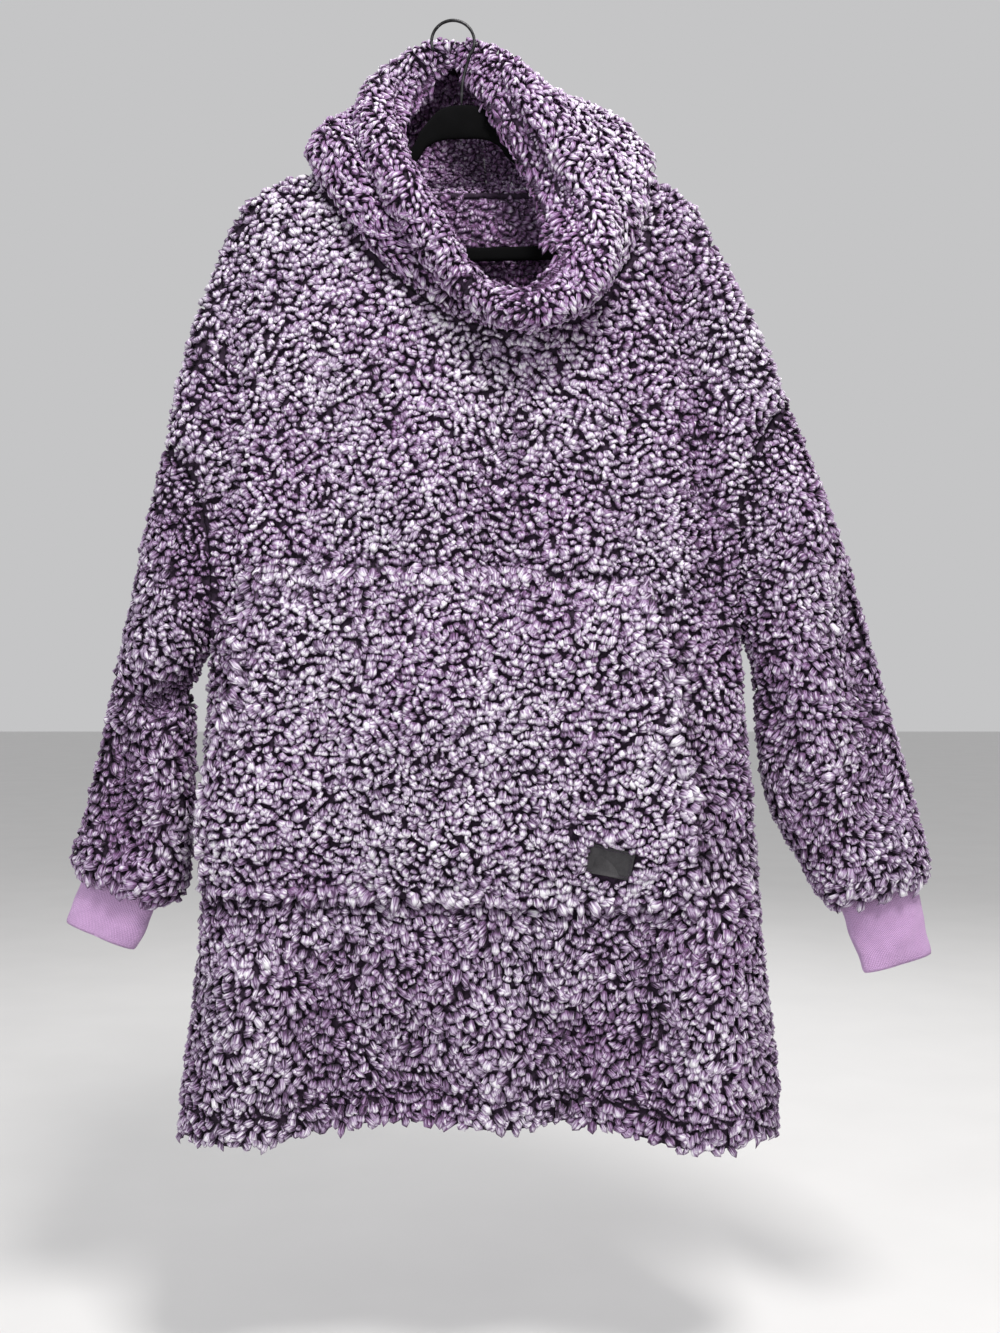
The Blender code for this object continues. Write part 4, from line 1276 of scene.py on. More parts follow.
class Shader:
    """A material with its main shader, and short ways to add and join nodes."""

    def __init__(self, name, roughness, metallic=0.0):
        self.material = bpy.data.materials.new(name)
        self.material.use_nodes = True
        self.tree = self.material.node_tree
        self.main = self.tree.nodes["Principled BSDF"]
        self.main.inputs["Roughness"].default_value = roughness
        self.main.inputs["Metallic"].default_value = metallic
        self.place = self.add("ShaderNodeTexCoord").outputs

    def add(self, kind, **values):
        """Add a node, with its own settings and its sockets' values."""
        node = self.tree.nodes.new(kind)
        for key, value in values.items():
            if key in node.inputs:
                node.inputs[key].default_value = value
            else:
                setattr(node, key, value)
        return node

    def join(self, source, target):
        """Join an output socket to an input socket."""
        self.tree.links.new(source, target)

    def math(self, operation, first, second=None, third=None):
        """Add a math node; each operand is a socket or a number."""
        node = self.tree.nodes.new("ShaderNodeMath")
        node.operation = operation
        for socket, value in zip(node.inputs, (first, second, third)):
            if value is None:
                continue
            if hasattr(value, "links"):
                self.join(value, socket)
            else:
                socket.default_value = value
        return node.outputs[0]

    def ramp(self, source, stops):
        """Add a colour ramp of (place, colour) stops."""
        node = self.tree.nodes.new("ShaderNodeValToRGB")
        elements = node.color_ramp.elements
        elements[0].position, elements[0].color = stops[0][0], (*stops[0][1], 1)
        elements[1].position, elements[1].color = stops[-1][0], (*stops[-1][1], 1)
        for place, colour in stops[1:-1]:
            element = elements.new(place)
            element.color = (*colour, 1)
        self.join(source, node.inputs["Fac"])
        return node.outputs["Color"]

    def texture(self, kind, source, **values):
        """Add a texture node that is read at the source's places."""
        node = self.add("ShaderNodeTex" + kind, **values)
        self.join(source, node.inputs["Vector"])
        return node

    def colour(self, source, stops):
        """Colour the main shader by a ramp of (place, colour) stops."""
        self.join(self.ramp(source, stops), self.main.inputs["Base Color"])

    def bump(self, height, distance, strength):
        """Add a bump of the given depth in metres to the main shader."""
        node = self.add("ShaderNodeBump", Strength=strength, Distance=distance)
        self.join(height, node.inputs["Height"])
        self.join(node.outputs["Normal"], self.main.inputs["Normal"])

    def sheen(self, weight, roughness, tint):
        """Set the cloth sheen."""
        self.main.inputs["Sheen Weight"].default_value = weight
        self.main.inputs["Sheen Roughness"].default_value = roughness
        self.main.inputs["Sheen Tint"].default_value = (*tint, 1)


def pile_material(name):
    """Curled frosted pile: dark root partly of painted shade, purple along it, pale tips, and painted
    light and shade from its stored values.
    """
    colours = bpy.context.scene.hoodie_sherpa
    shader = Shader(name, 0.9)
    stored = shader.add("ShaderNodeAttribute", attribute_name="pile")
    parts = shader.add("ShaderNodeSeparateColor")
    shader.join(stored.outputs["Color"], parts.inputs["Color"])
    frost, light, pink = parts.outputs[:3]
    stretch = shader.add("ShaderNodeMapping", Scale=(12.0, 1.5, 1.0))
    shader.join(shader.place["UV"], stretch.inputs["Vector"])
    fibre = shader.texture("Noise", stretch.outputs["Vector"], Scale=1.0, Detail=3.0, Roughness=0.6)
    tone = shader.math("MULTIPLY", frost, TONE_OF_FROST_AND_PAINTED_LIGHT)
    tone = shader.math("MULTIPLY_ADD", light, TONE_OF_LIGHT, tone)
    strand = shader.math("SUBTRACT", fibre.outputs["Fac"], 0.5)
    tone = shader.math("MULTIPLY_ADD", strand, TONE_OF_STRAND, tone)
    tone = shader.math("SUBTRACT", tone, TONE_DARKER)
    cool = shader.ramp(tone, [
        (0.00, colours.root_colour),
        (0.30, colours.purple_colour),
        (0.62, colours.lilac_colour),
        (0.95, colours.frost_colour),
    ])
    warm = shader.ramp(tone, [
        (0.00, colours.root_colour),
        (0.34, colours.plum_colour),
        (0.72, colours.pink_colour),
        (1.00, colours.frost_colour),
    ])
    mix = shader.add("ShaderNodeMix", data_type="RGBA")
    shader.join(pink, mix.inputs["Factor"])
    shader.join(cool, mix.inputs[6])
    shader.join(warm, mix.inputs[7])
    shader.join(mix.outputs[2], shader.main.inputs["Base Color"])
    shader.bump(fibre.outputs["Fac"], 0.0012, 0.8)
    shader.sheen(0.03, 0.5, (0.86, 0.82, 0.92))
    return shader.material


def backing_material(name):
    """Knitted backing between the locks, nearly hidden and dark purple, darkened with painted shade."""
    colours = bpy.context.scene.hoodie_sherpa
    shader = Shader(name, 0.95)
    speckle = shader.texture("Noise", shader.place["Object"], Scale=260.0, Detail=3.0)
    shader.colour(speckle.outputs["Fac"], [(0.35, colours.root_colour), (0.75, colours.backing_colour)])
    shader.bump(speckle.outputs["Fac"], 0.002, 0.8)
    shader.sheen(0.02, 0.5, (0.7, 0.6, 0.8))
    return shader.material


def inside_material(name):
    """Pile pressed flat inside the garment, in short level rows."""
    colours = bpy.context.scene.hoodie_sherpa
    shader = Shader(name, 0.95)
    level = shader.add("ShaderNodeMapping", Scale=(1.0, 1.0, 2.3))
    shader.join(shader.place["Object"], level.inputs["Vector"])
    rows = level.outputs["Vector"]
    warp = shader.texture("Noise", rows, Scale=90.0, Detail=2.0)
    push = shader.add("ShaderNodeVectorMath", operation="MULTIPLY_ADD")
    shader.join(warp.outputs["Color"], push.inputs[0])
    push.inputs[1].default_value = (0.008, 0.008, 0.008)
    shader.join(rows, push.inputs[2])
    pushed = push.outputs["Vector"]
    clump = shader.texture("Voronoi", pushed, Scale=135.0, feature="DISTANCE_TO_EDGE")
    strand = shader.texture("Noise", rows, Scale=620.0, Detail=3.0, Roughness=0.65)
    raised = shader.math("MULTIPLY", clump.outputs["Distance"], 3.0)
    raised = shader.math("MINIMUM", raised, 1.0)
    height = shader.math("MULTIPLY_ADD", strand.outputs["Fac"], 0.9, raised)
    # Colour by height: the creases between the clumps take painted shade
    shader.colour(shader.math("MULTIPLY", height, 0.62), [
        (0.15, colours.root_colour),
        (0.45, colours.plum_colour),
        (0.75, colours.pink_colour),
        (1.00, colours.lilac_colour),
    ])
    shader.bump(height, 0.0022, 0.9)
    shader.sheen(0.25, 0.5, (0.8, 0.7, 0.9))
    return shader.material


def rib_material(name):
    """Fine lilac rib knit with a slight weave across the ribs."""
    trim = bpy.context.scene.hoodie_trim
    shader = Shader(name, 0.85)
    split = shader.add("ShaderNodeSeparateXYZ")
    shader.join(shader.place["UV"], split.inputs["Vector"])
    wobble = shader.texture("Noise", shader.place["UV"], Scale=60.0, Detail=2.0)
    shifted = shader.math("MULTIPLY_ADD", wobble.outputs["Fac"], 0.0006, split.outputs["X"])
    turn = 2 * math.pi / trim.rib_spacing
    rib = shader.math("SINE", shader.math("MULTIPLY", shifted, turn))
    stitch = shader.math("SINE", shader.math("MULTIPLY", split.outputs["Y"], turn * 0.9))
    knit = shader.math("MULTIPLY_ADD", stitch, 0.35, rib)
    cloud = shader.texture("Noise", shader.place["Object"], Scale=26.0, Detail=4.0)
    fluff = shader.texture("Noise", shader.place["Object"], Scale=900.0, Detail=2.0)
    # Painted shade in the valleys between the ribs, over a cloudy tone and fine fluff
    tone = shader.math("MULTIPLY_ADD", knit, 0.20, cloud.outputs["Fac"])
    tone = shader.math("MULTIPLY_ADD", fluff.outputs["Fac"], 0.18, tone)
    shader.colour(tone, [(0.25, trim.rib_shade_colour), (0.85, trim.rib_colour)])
    shader.bump(knit, 0.0005, 0.8)
    shader.sheen(0.2, 0.4, (0.9, 0.8, 1.0))
    return shader.material


def leather_material(name):
    """Matt dark leather with a fine pebbled grain."""
    trim = bpy.context.scene.hoodie_trim
    shader = Shader(name, 0.7)
    shader.main.inputs["Specular IOR Level"].default_value = 0.3
    grain = shader.texture("Voronoi", shader.place["Object"], Scale=900.0)
    crease = shader.texture("Noise", shader.place["Object"], Scale=190.0, Detail=5.0, Roughness=0.6)
    height = shader.math("MULTIPLY_ADD", grain.outputs["Distance"], 0.5, crease.outputs["Fac"])
    dark = tuple(0.55 * value for value in trim.leather_colour)
    shader.colour(height, [(0.4, dark), (0.95, trim.leather_colour)])
    rough = shader.math("MULTIPLY_ADD", crease.outputs["Fac"], 0.3, 0.5)
    shader.join(rough, shader.main.inputs["Roughness"])
    shader.bump(height, 0.0003, 0.7)
    return shader.material


def thread_material(name):
    """Twisted dark sewing thread."""
    shader = Shader(name, 0.6)
    twist = shader.texture("Noise", shader.place["Object"], Scale=1500.0, Detail=2.0)
    shader.colour(twist.outputs["Fac"], [(0.3, THREAD_DARK), (0.7, THREAD_PALE)])
    shader.bump(twist.outputs["Fac"], 0.0003, 0.8)
    shader.sheen(0.3, 0.3, (0.8, 0.8, 0.8))
    return shader.material


def velvet_material(name):
    """Black flock on the hanger, with a few paler brushed places."""
    trim = bpy.context.scene.hoodie_trim
    shader = Shader(name, 0.95)
    brushed = shader.texture("Noise", shader.place["Object"], Scale=22.0, Detail=4.0)
    flock = shader.texture("Noise", shader.place["Object"], Scale=1400.0, Detail=2.0)
    tone = shader.math("MULTIPLY_ADD", flock.outputs["Fac"], 0.5, brushed.outputs["Fac"])
    pale = tuple(2.2 * value for value in trim.velvet_colour)
    shader.colour(tone, [(0.55, trim.velvet_colour), (1.0, pale)])
    shader.bump(flock.outputs["Fac"], 0.0005, 0.8)
    shader.main.inputs["Specular IOR Level"].default_value = 0.08
    return shader.material


def wire_material(name):
    """Dark plated steel wire, slightly rubbed."""
    shader = Shader(name, 0.35, 0.9)
    rub = shader.texture("Noise", shader.place["Object"], Scale=160.0, Detail=4.0)
    shader.colour(rub.outputs["Fac"], [(0.35, WIRE_DARK), (0.75, WIRE_RUBBED)])
    rough = shader.math("MULTIPLY_ADD", rub.outputs["Fac"], 0.3, 0.2)
    shader.join(rough, shader.main.inputs["Roughness"])
    shader.bump(rub.outputs["Fac"], 0.0001, 0.5)
    return shader.material


def floor_material(name):
    """Plain pale floor with a very slight grain."""
    stage = bpy.context.scene.hoodie_stage
    shader = Shader(name, 0.9)
    grain = shader.texture("Noise", shader.place["Object"], Scale=6.0, Detail=5.0)
    dark = tuple(0.97 * value for value in stage.floor_colour)
    shader.colour(grain.outputs["Fac"], [(0.3, dark), (0.7, stage.floor_colour)])
    return shader.material


MATERIALS = {
    "Frosted Sherpa Pile": pile_material,
    "Sherpa Backing": backing_material,
    "Sherpa Inside": inside_material,
    "Lilac Rib Knit": rib_material,
    "Dark Leather": leather_material,
    "Sewing Thread": thread_material,
    "Black Flock": velvet_material,
    "Dark Wire": wire_material,
    "Pale Floor": floor_material,
}


def material_of(name):
    """Return the named material, made the first time that it is asked for."""
    return bpy.data.materials.get(name) or MATERIALS[name](name)


# Body


def is_under_pocket(x, z, margin):
    """Tell which places of the front lie under the pocket."""
    sides = np.array(POCKET_SIDES, dtype=float)
    right_x = np.interp(z, sides[:, 0], sides[:, 1]) + margin
    left_x = np.interp(z, sides[:, 0], sides[:, 2]) - margin
    low = sides[0, 0] + margin
    high = sides[-1, 0] - pocket_top_step(x) - margin
    return (z > low) & (z < high) & (x > right_x) & (x < left_x)


def seam_press(distance):
    """Return how tall pile stands near a seam, up to 1 away from it."""
    return SEAM_PILE + (1 - SEAM_PILE) * smooth((distance - SEAM_FLAT) / SEAM_RISE)


def seam_shade(distance):
    """Return how shaded pile is near a seam, from 1 in it to 0 away from it."""
    return smooth((SEAM_SHADE - distance) / SEAM_SHADE_EASE)


def fold_light(folds, place, strength):
    """Return how much lighter ridges are, and how much darker troughs."""
    height = fold_height(folds, place[:, 0], place[:, 2])
    return np.clip(strength * height, FOLD_DARKEST, FOLD_LIGHTEST)


def body_pile_shape(points, face):
    """Return the shape function of the front's or back's pile."""
    edge = edge_distances(points)
    folds = FRONT_FOLDS + FRONT_CREASES if face < 0 else BACK_FOLDS + BACK_CREASES

    def shape(row, column, place):
        hem = at_place(edge["first_row"], row, column)
        seams = least_at(edge, row, column, "last_row", "first_column", "last_column")
        groove = near(hem, HEM_STITCH, HEM_GROOVE)
        press = seam_press(seams) * (1 - GROOVE_PRESS * groove)
        lower = smooth((LOWER_TOP_Z - place[:, 2]) / LOWER_SPAN)
        hem_locks = smooth((HEM_STITCH - hem) / HEM_EASE)
        tall = press * (1 + 0.08 * lower)
        wide = 1 - 0.12 * lower
        long = (0.9 + 0.5 * lower + 0.1 * hem_locks) * press
        # Painted shade in the hem stitching's groove, toward the hem, in the folds' troughs, near the
        # seams and round the pocket; painted light on the folds' ridges; the hem's locks a little
        # lighter
        light = 0.05 * hem_locks - 0.30 * groove - 0.19 * lower
        light = light + fold_light(folds, place, BODY_FOLD_LIGHT)
        light -= SEAM_DARK * seam_shade(seams)
        kept = (seams > SEAM_BARE) & (hem > EDGE_BARE)
        if face < 0:
            x, z = place[:, 0], place[:, 2]
            kept &= ~is_under_pocket(x, z, POCKET_COVER)
            for reach in POCKET_SHADES:
                shaded = is_under_pocket(x, z, reach)
                light -= 0.13 * shaded
                tall = tall * (1 - 0.2 * shaded)
        return tall, wide, long, light, kept

    return shape


def make_panel(name, face, pile, seed):
    """Make the front or the back, with its pile."""
    points, normals = panel_walls(face)
    cloth, outer = backing(name + "_cloth", points, normals)
    settle_piece(cloth, "sherpa", name)
    pile_piece = grow_pile(name + "_pile", outer, normals, pile, seed, body_pile_shape(points, face))
    settle_piece(pile_piece, "sherpa")
    return points, normals


def make_back_lining():
    """Make the pressed pile that shows inside the back, under the neck."""
    points, normals = panel_walls(1)
    inner = points - (SHERPA - LINING_DEPTH) * normals
    middle = slice(COLUMNS // 5, COLUMNS - COLUMNS // 6)
    rows = slice(SIDE_ROWS + ARMHOLE_ROWS, None)
    inner, inward = inner[rows, middle], -normals[rows, middle]
    from_neck = edge_distances(inner)["last_row"]

    def shape(row, column, place):
        neck = at_place(from_neck, row, column)
        ones = np.ones(len(place))
        # Painted shade near the neck seam
        light = -LINING_NECK_DARK * smooth((LINING_NECK_SHADE - neck) / LINING_NECK_EASE)
        return ones, ones, ones, light, (place[:, 2] > LINING_LOW_Z) & (neck > LINING_NECK_BARE)

    piece = grow_pile("back_lining_pile", inner, inward, INSIDE_PILE, 71, shape)
    settle_piece(piece, "sherpa")


def make_sleeve(name, rings, folds, side, seed):
    """Make one sleeve with its pile."""
    points, normals = sleeve_walls(rings, folds, side)
    cloth, outer = backing(name + "_cloth", points, normals, closed=True)
    settle_piece(cloth, "sherpa", name)
    around_points = np.concatenate([outer, outer[:, :1]], axis=1)
    around_normals = np.concatenate([normals, normals[:, :1]], axis=1)
    edge = edge_distances(around_points)

    def shape(row, column, place):
        armhole = at_place(edge["first_row"], row, column)
        wrist = at_place(edge["last_row"], row, column)
        tall = seam_press(armhole)
        down = smooth(armhole / SLEEVE_FALL)
        end = smooth((WRIST_REACH - wrist) / WRIST_EASE)
        long = tall * (0.65 + 0.45 * down + 0.35 * end)
        # Painted shade over the right sleeve, in the folds' troughs and near the armhole seam; painted
        # light on the ridges; the locks over the wrist a little lighter
        light = 0.05 * end - RIGHT_SLEEVE_DARK * (side < 0)
        light = light + fold_light(folds, place, SLEEVE_FOLD_LIGHT)
        light -= SEAM_DARK * seam_shade(armhole)
        return tall, np.ones(len(place)), long, light, armhole > EDGE_BARE

    pile_piece = grow_pile(name + "_pile", around_points, around_normals, SLEEVE_PILE, seed, shape)
    settle_piece(pile_piece, "sherpa")


# Hood


def make_hood(name, first, last, seed):
    """Make one side of the hood between two columns, with its pile inside and out."""
    outer, inner, tip = hood_walls(hood_turns())
    part = np.arange(first, last + 1) % (2 * COLUMNS)
    outer, inner, tip = outer[:, part], inner[:, part], tip[None, part]
    loop = np.concatenate([outer, tip, inner[::-1]])
    normals = grid_normals(loop, 1.0)
    sign = np.sign(np.sum(normals[1:4] * (outer[1:4] - inner[1:4])))
    normals *= sign
    rows = len(outer)
    casing_end = len(loop) - 1 - HOOD_ROWS
    is_inside = np.arange(len(loop)) > casing_end
    depth = np.where(is_inside, LINING_DEPTH, BACKING_DEPTH)
    depth = np.convolve(np.pad(depth, 2, mode="edge"), np.ones(5) / 5, mode="valid")
    skin = loop - depth[:, None, None] * normals
    for end, step in ((0, 1), (-1, -2)):
        inward = unit(skin[:, step] - skin[:, end])
        skin[:, end] += SEAM_HALF * inward
    cloth = link_cloth(name + "_cloth", skin[:rows], skin[:rows:-1])
    settle_piece(cloth, "sherpa", name)
    edge = edge_distances(loop)
    stitch_out = edge["first_row"][HOOD_ROWS]
    stitch_in = edge["first_row"][casing_end]

    def shape(row, column, place):
        run = at_place(edge["first_row"], row, column)
        neck = least_at(edge, row, column, "first_row", "last_row")
        ends = least_at(edge, row, column, "first_column", "last_column")
        whole = np.clip(column.astype(int), 0, len(stitch_out) - 1)
        to_stitch = np.minimum(np.abs(run - stitch_out[whole]), np.abs(run - stitch_in[whole]))
        groove = near(to_stitch, 0, HOOD_GROOVE)
        inside = smooth((row - casing_end) / 2)
        crease = near(row, rows - 0.3, 0.8)
        strip = smooth((row - rows) / 1.5)
        seams = np.minimum(neck, ends)
        press = seam_press(seams) * (1 - GROOVE_PRESS * groove) * (1 - 0.45 * crease)
        tall = press * (1 - 0.25 * strip - 0.2 * inside)
        wide = 1 + 0.12 * inside
        long = press * (1 - 0.35 * inside)
        # Painted light toward the wearer's left; painted shade in the stitching's grooves, along the
        # roll's crease, on the inner strip, inside the hood and near the seams
        light = 0.25 * smooth((place[:, 0] - HOOD_LIGHT_X) / HOOD_LIGHT_SPAN) * (1 - strip)
        light -= 0.28 * groove + 0.20 * crease + 0.14 * strip + 0.12 * inside
        light -= HOOD_SEAM_DARK * seam_shade(seams)
        return tall, wide, long, light, (neck > EDGE_BARE) & (ends > EDGE_BARE)

    pile_piece = grow_pile(name + "_pile", skin, normals, HOOD_PILE, seed, shape, rows)
    settle_piece(pile_piece, "sherpa")


def tube_mesh(name, path, radii, sides, across=None):
    """Return a closed round tube along a path of points."""
    along = unit(np.gradient(path, axis=0))
    reference = np.array([0.0, 1.0, 0.0]) if across is None else across
    first = unit(np.cross(along, reference))
    second = np.cross(first, along)
    turns = 2 * np.pi * np.arange(sides) / sides
    ring = (
        np.cos(turns)[None, :, None] * first[:, None] + np.sin(turns)[None, :, None] * second[:, None]
    )
    points = path[:, None] + radii[:, None, None] * ring
    count = len(path)
    a, b, f, e = grid_corners(count, sides, count - 1, sides)
    quads = np.stack([a, e, f, b], axis=-1)
    vertices = np.concatenate([points.reshape(-1, 3), path[:1], path[-1:]])
    c = np.arange(sides)
    d = (c + 1) % sides
    start = np.full(sides, count * sides)
    last = (count - 1) * sides
    caps = np.concatenate([
        np.stack([start, c, d], axis=-1),
        np.stack([start + 1, last + d, last + c], axis=-1),
    ])
    loops = np.concatenate([quads.ravel(), caps.ravel()])
    starts = np.concatenate([4 * np.arange(len(quads)), 4 * len(quads) + 3 * np.arange(len(caps))])
    run = arc_from_start(path[:, None], 0).ravel() * MM
    flat = np.zeros((len(vertices), 2))
    flat[:count * sides, 0] = np.tile(turns / (2 * np.pi), count)
    flat[:count * sides, 1] = np.repeat(run, sides)
    mesh = fast_mesh(name, vertices, loops, starts, flat[loops])
    face_outward(mesh)
    return mesh


def rounded_ends(count, radius, rings=3):
    """Return a tube's radii, drawn in over the first and last few rings."""
    radii = np.full(count, float(radius))
    for k in range(rings):
        part = math.sqrt(1 - (1 - (k + 0.3) / rings) ** 2)
        radii[k] = radii[-1 - k] = radius * part
    return radii


def make_neck_seam():
    """Make the overlocked seam allowance inside the back of the neck."""
    turns = np.linspace(*NECK_SEAM_TURNS, NECK_SEAM_STEPS)
    neck, wall = neck_loop(turns)
    path = neck - (SHERPA - LINING_DEPTH + NECK_SEAM_INSET) * wall
    path[:, 2] += NECK_SEAM_RIPPLE * np.sin(np.arange(len(turns)) * 1.9)
    radii = rounded_ends(len(path), NECK_SEAM_RADIUS)
    mesh = tube_mesh("neck_seam", path, radii, 10, np.array([0.0, 0.0, 1.0]))
    seam = link_object("neck_seam", mesh, material_of("Sherpa Backing"))
    settle_piece(seam, "sherpa")


# Pocket and patch


def make_pocket():
    """Make the kangaroo pocket with its pile; its sides stand open."""
    a, b = np.meshgrid(np.linspace(0, 1, POCKET_COLUMNS + 1), np.linspace(0, 1, POCKET_ROWS + 1))
    here, normal = front_surface(*pocket_flat(a, b))
    outer = here + normal * (pocket_room(b) + SHERPA + SETTLE_GAP)[..., None]
    edge = edge_distances(outer)
    sewn = smooth(1 - np.minimum(edge["first_row"], edge["last_row"]) / 12)
    sag = sewn * (BACKING_DEPTH - 0.8)
    skin = outer - (BACKING_DEPTH + sag)[..., None] * normal
    inner = outer - (SHERPA - LINING_DEPTH + sag)[..., None] * normal
    cloth = link_cloth("pocket_cloth", skin, inner)
    settle_piece(cloth, "sherpa", "pocket")

    def shape(row, column, place):
        low = at_place(edge["first_row"], row, column)
        high = at_place(edge["last_row"], row, column)
        sides = least_at(edge, row, column, "first_column", "last_column")
        groove = near(high, POCKET_STITCH, 4) + 0.7 * near(low, POCKET_LOW_STITCH, 3)
        groove = (groove + 0.9 * near(sides, POCKET_SIDE_STITCH, 4)).clip(0, 1)
        edges = np.minimum(np.minimum(low, high), sides)
        edge_locks = smooth((POCKET_EDGE_REACH - edges) / POCKET_EDGE_EASE)
        tall = (1 - 0.6 * groove) * (1 + 0.22 * edge_locks)
        long = 0.95 + 0.65 * edge_locks
        # Painted shade in the stitching's grooves; the band above the top stitching and the edge locks
        # a little lighter
        light = 0.04 * smooth((POCKET_STITCH - high) / 6) + 0.03 * edge_locks - 0.26 * groove
        dx = place[:, 0] - PATCH_X
        dz = place[:, 2] - PATCH_Z
        across = dx * math.cos(PATCH_TURN) + dz * math.sin(PATCH_TURN)
        up = dz * math.cos(PATCH_TURN) - dx * math.sin(PATCH_TURN)
        on_patch = (np.abs(across) < PATCH_WIDTH / 2 - 1.5) & (np.abs(up) < PATCH_HEIGHT / 2 + 1.0)
        return tall, np.ones(len(place)), long, light, ~on_patch

    pile_piece = grow_pile("pocket_pile", skin, normal, POCKET_PILE, 41, shape)
    settle_piece(pile_piece, "sherpa")


def patch_place(across, up):
    """Return points and normals on the pocket at the patch's own places."""
    x = PATCH_X + across * math.cos(PATCH_TURN) - up * math.sin(PATCH_TURN)
    z = PATCH_Z + across * math.sin(PATCH_TURN) + up * math.cos(PATCH_TURN)
    here, normal = front_surface(x, z)
    top = POCKET_SIDES[-1].z
    low = POCKET_SIDES[0].z
    share = (z - low) / (top - low)
    return here + normal * (pocket_room(share) + SHERPA)[..., None], normal


def patch_outline(steps, inset):
    """Return the patch's rounded outline, moved in by inset."""
    turns = 2 * np.pi * np.arange(steps) / steps
    half_wide = PATCH_WIDTH / 2 - inset
    half_high = PATCH_HEIGHT / 2 - inset
    radius = max(PATCH_CORNER - inset, 0.6)
    core = np.stack([np.cos(turns), np.sin(turns)], axis=-1)
    reach = np.array([half_wide - radius, half_high - radius])
    ray = 4 * core * max(half_wide, half_high)
    inside = np.clip(ray, -reach, reach)
    out = ray - inside
    return inside + radius * unit(out)


def make_patch():
    """Make the leather label with a rolled edge, and the thread round it."""
    trim = bpy.context.scene.hoodie_trim
    rings = []
    for inset, level in PATCH_PROFILE:
        flat = patch_outline(PATCH_STEPS, inset)
        here, normal = patch_place(flat[:, 0], flat[:, 1])
        rings.append(here + normal * (PATCH_THICK * (level - PATCH_SUNK)))
    rings = np.array(rings)
    count = len(rings)
    corners = grid_corners(count, PATCH_STEPS, count - 1, PATCH_STEPS)
    faces = np.stack(corners, axis=-1).tolist()
    faces.append(list(range((count - 1) * PATCH_STEPS, count * PATCH_STEPS)))
    faces.append(list(range(PATCH_STEPS))[::-1])
    mesh = plain_mesh("label", rings, faces)
    label = link_object("label", mesh, material_of("Dark Leather"))
    settle_piece(label, "leather", "patch")

    outline = patch_outline(400, THREAD_INSET)
    run = np.concatenate([[0], np.cumsum(np.linalg.norm(np.diff(outline, axis=0), axis=1))])
    count = int(run[-1] / trim.stitch_length / 1000)
    arch = np.sin(np.linspace(0, np.pi, STITCH_POINTS))
    lift = PATCH_THICK * 0.5 + THREAD_ARCH * arch - THREAD_SUNK
    stitches = []
    for k in range(count):
        share = (k + np.linspace(0.12, 0.88, STITCH_POINTS)) / count * run[-1]
        across = np.interp(share, run, outline[:, 0])
        up = np.interp(share, run, outline[:, 1])
        here, normal = patch_place(across, up)
        path = here + normal * lift[:, None]
        radii = rounded_ends(STITCH_POINTS, THREAD_RADIUS, 2)
        stitches.append(tube_mesh("stitch", path, radii, 6, normal.mean(axis=0)))
    join_meshes("label_thread", stitches, "Sewing Thread", "leather")


def join_meshes(name, meshes, material, slot):
    """Join meshes to one piece on the body."""
    work = bmesh.new()
    for mesh in meshes:
        work.from_mesh(mesh)
        bpy.data.meshes.remove(mesh)
    joined = bpy.data.meshes.new(name)
    work.to_mesh(joined)
    work.free()
    joined.shade_smooth()
    piece = link_object(name, joined, material_of(material))
    settle_piece(piece, slot)


# Cuffs


def make_cuff(name, cuff, folds, seed):
    """Make one rib cuff, folded at its end, with soft dents."""
    outer = cuff_points(cuff, 0, CUFF_INSIDE)
    inner = cuff_points(cuff, -RIB, CUFF_INSIDE)
    centre = outer.mean(axis=1, keepdims=True)
    outward = unit(outer - centre)
    place = np.linspace(0, 1, len(outer))[:, None]
    flat = outer.reshape(-1, 3)
    dent = CUFF_DENT * waves(flat, CUFF_DENT_LENGTH, seed)
    dent = dent + CUFF_RIPPLE * waves(flat, CUFF_RIPPLE_LENGTH, seed + 1)
    dent = dent.reshape(outer.shape[:2]) + fold_height(folds, outer[..., 0], outer[..., 2])
    dent *= smooth((place - 0.05) / 0.3)
    rounded = RIB / 2 * (1 - swell((1 - place) * CUFF_ROUND, 1.0))
    outer = outer + (dent - rounded)[..., None] * outward
    inner = inner + (dent + rounded)[..., None] * outward
    mesh = wall_mesh(name + "_rib", outer, inner, closed=True)
    knit = material_of("Lilac Rib Knit")
    piece = link_object(name + "_rib", mesh, knit, knit)
    settle_piece(piece, "rib", name)


# Hanger


def make_hanger():
    """Make the flocked hanger with soft edges."""
    half = curve(HANGER_ROWS, np.linspace(0, len(HANGER_ROWS) - 1, HANGER_STEPS))
    other = half[-2:0:-1] * np.array([-1, 1, -1, 1])
    loop = np.concatenate([half, other])
    section = HANGER_EDGE + [(1 - share, side) for share, side in reversed(HANGER_EDGE)]
    section += [(share, -side) for share, side in reversed(section)]
    rings = []
    for share, side in section:
        x = loop[:, 0] + (loop[:, 2] - loop[:, 0]) * share
        z = loop[:, 1] + (loop[:, 3] - loop[:, 1]) * share
        x, z = hanger_place(x, z)
        rings.append(np.stack([x, 0 * x + side * HANGER_THICK, z], axis=-1))
    rings = np.array(rings)
    rows, columns = rings.shape[:2]
    faces = np.stack(grid_corners(rows, columns, rows, columns), axis=-1).tolist()
    mesh = plain_mesh("hanger_velvet", rings, faces)
    piece = link_object("hanger_velvet", mesh, material_of("Black Flock"))
    settle_piece(piece, "velvet", "hanger")


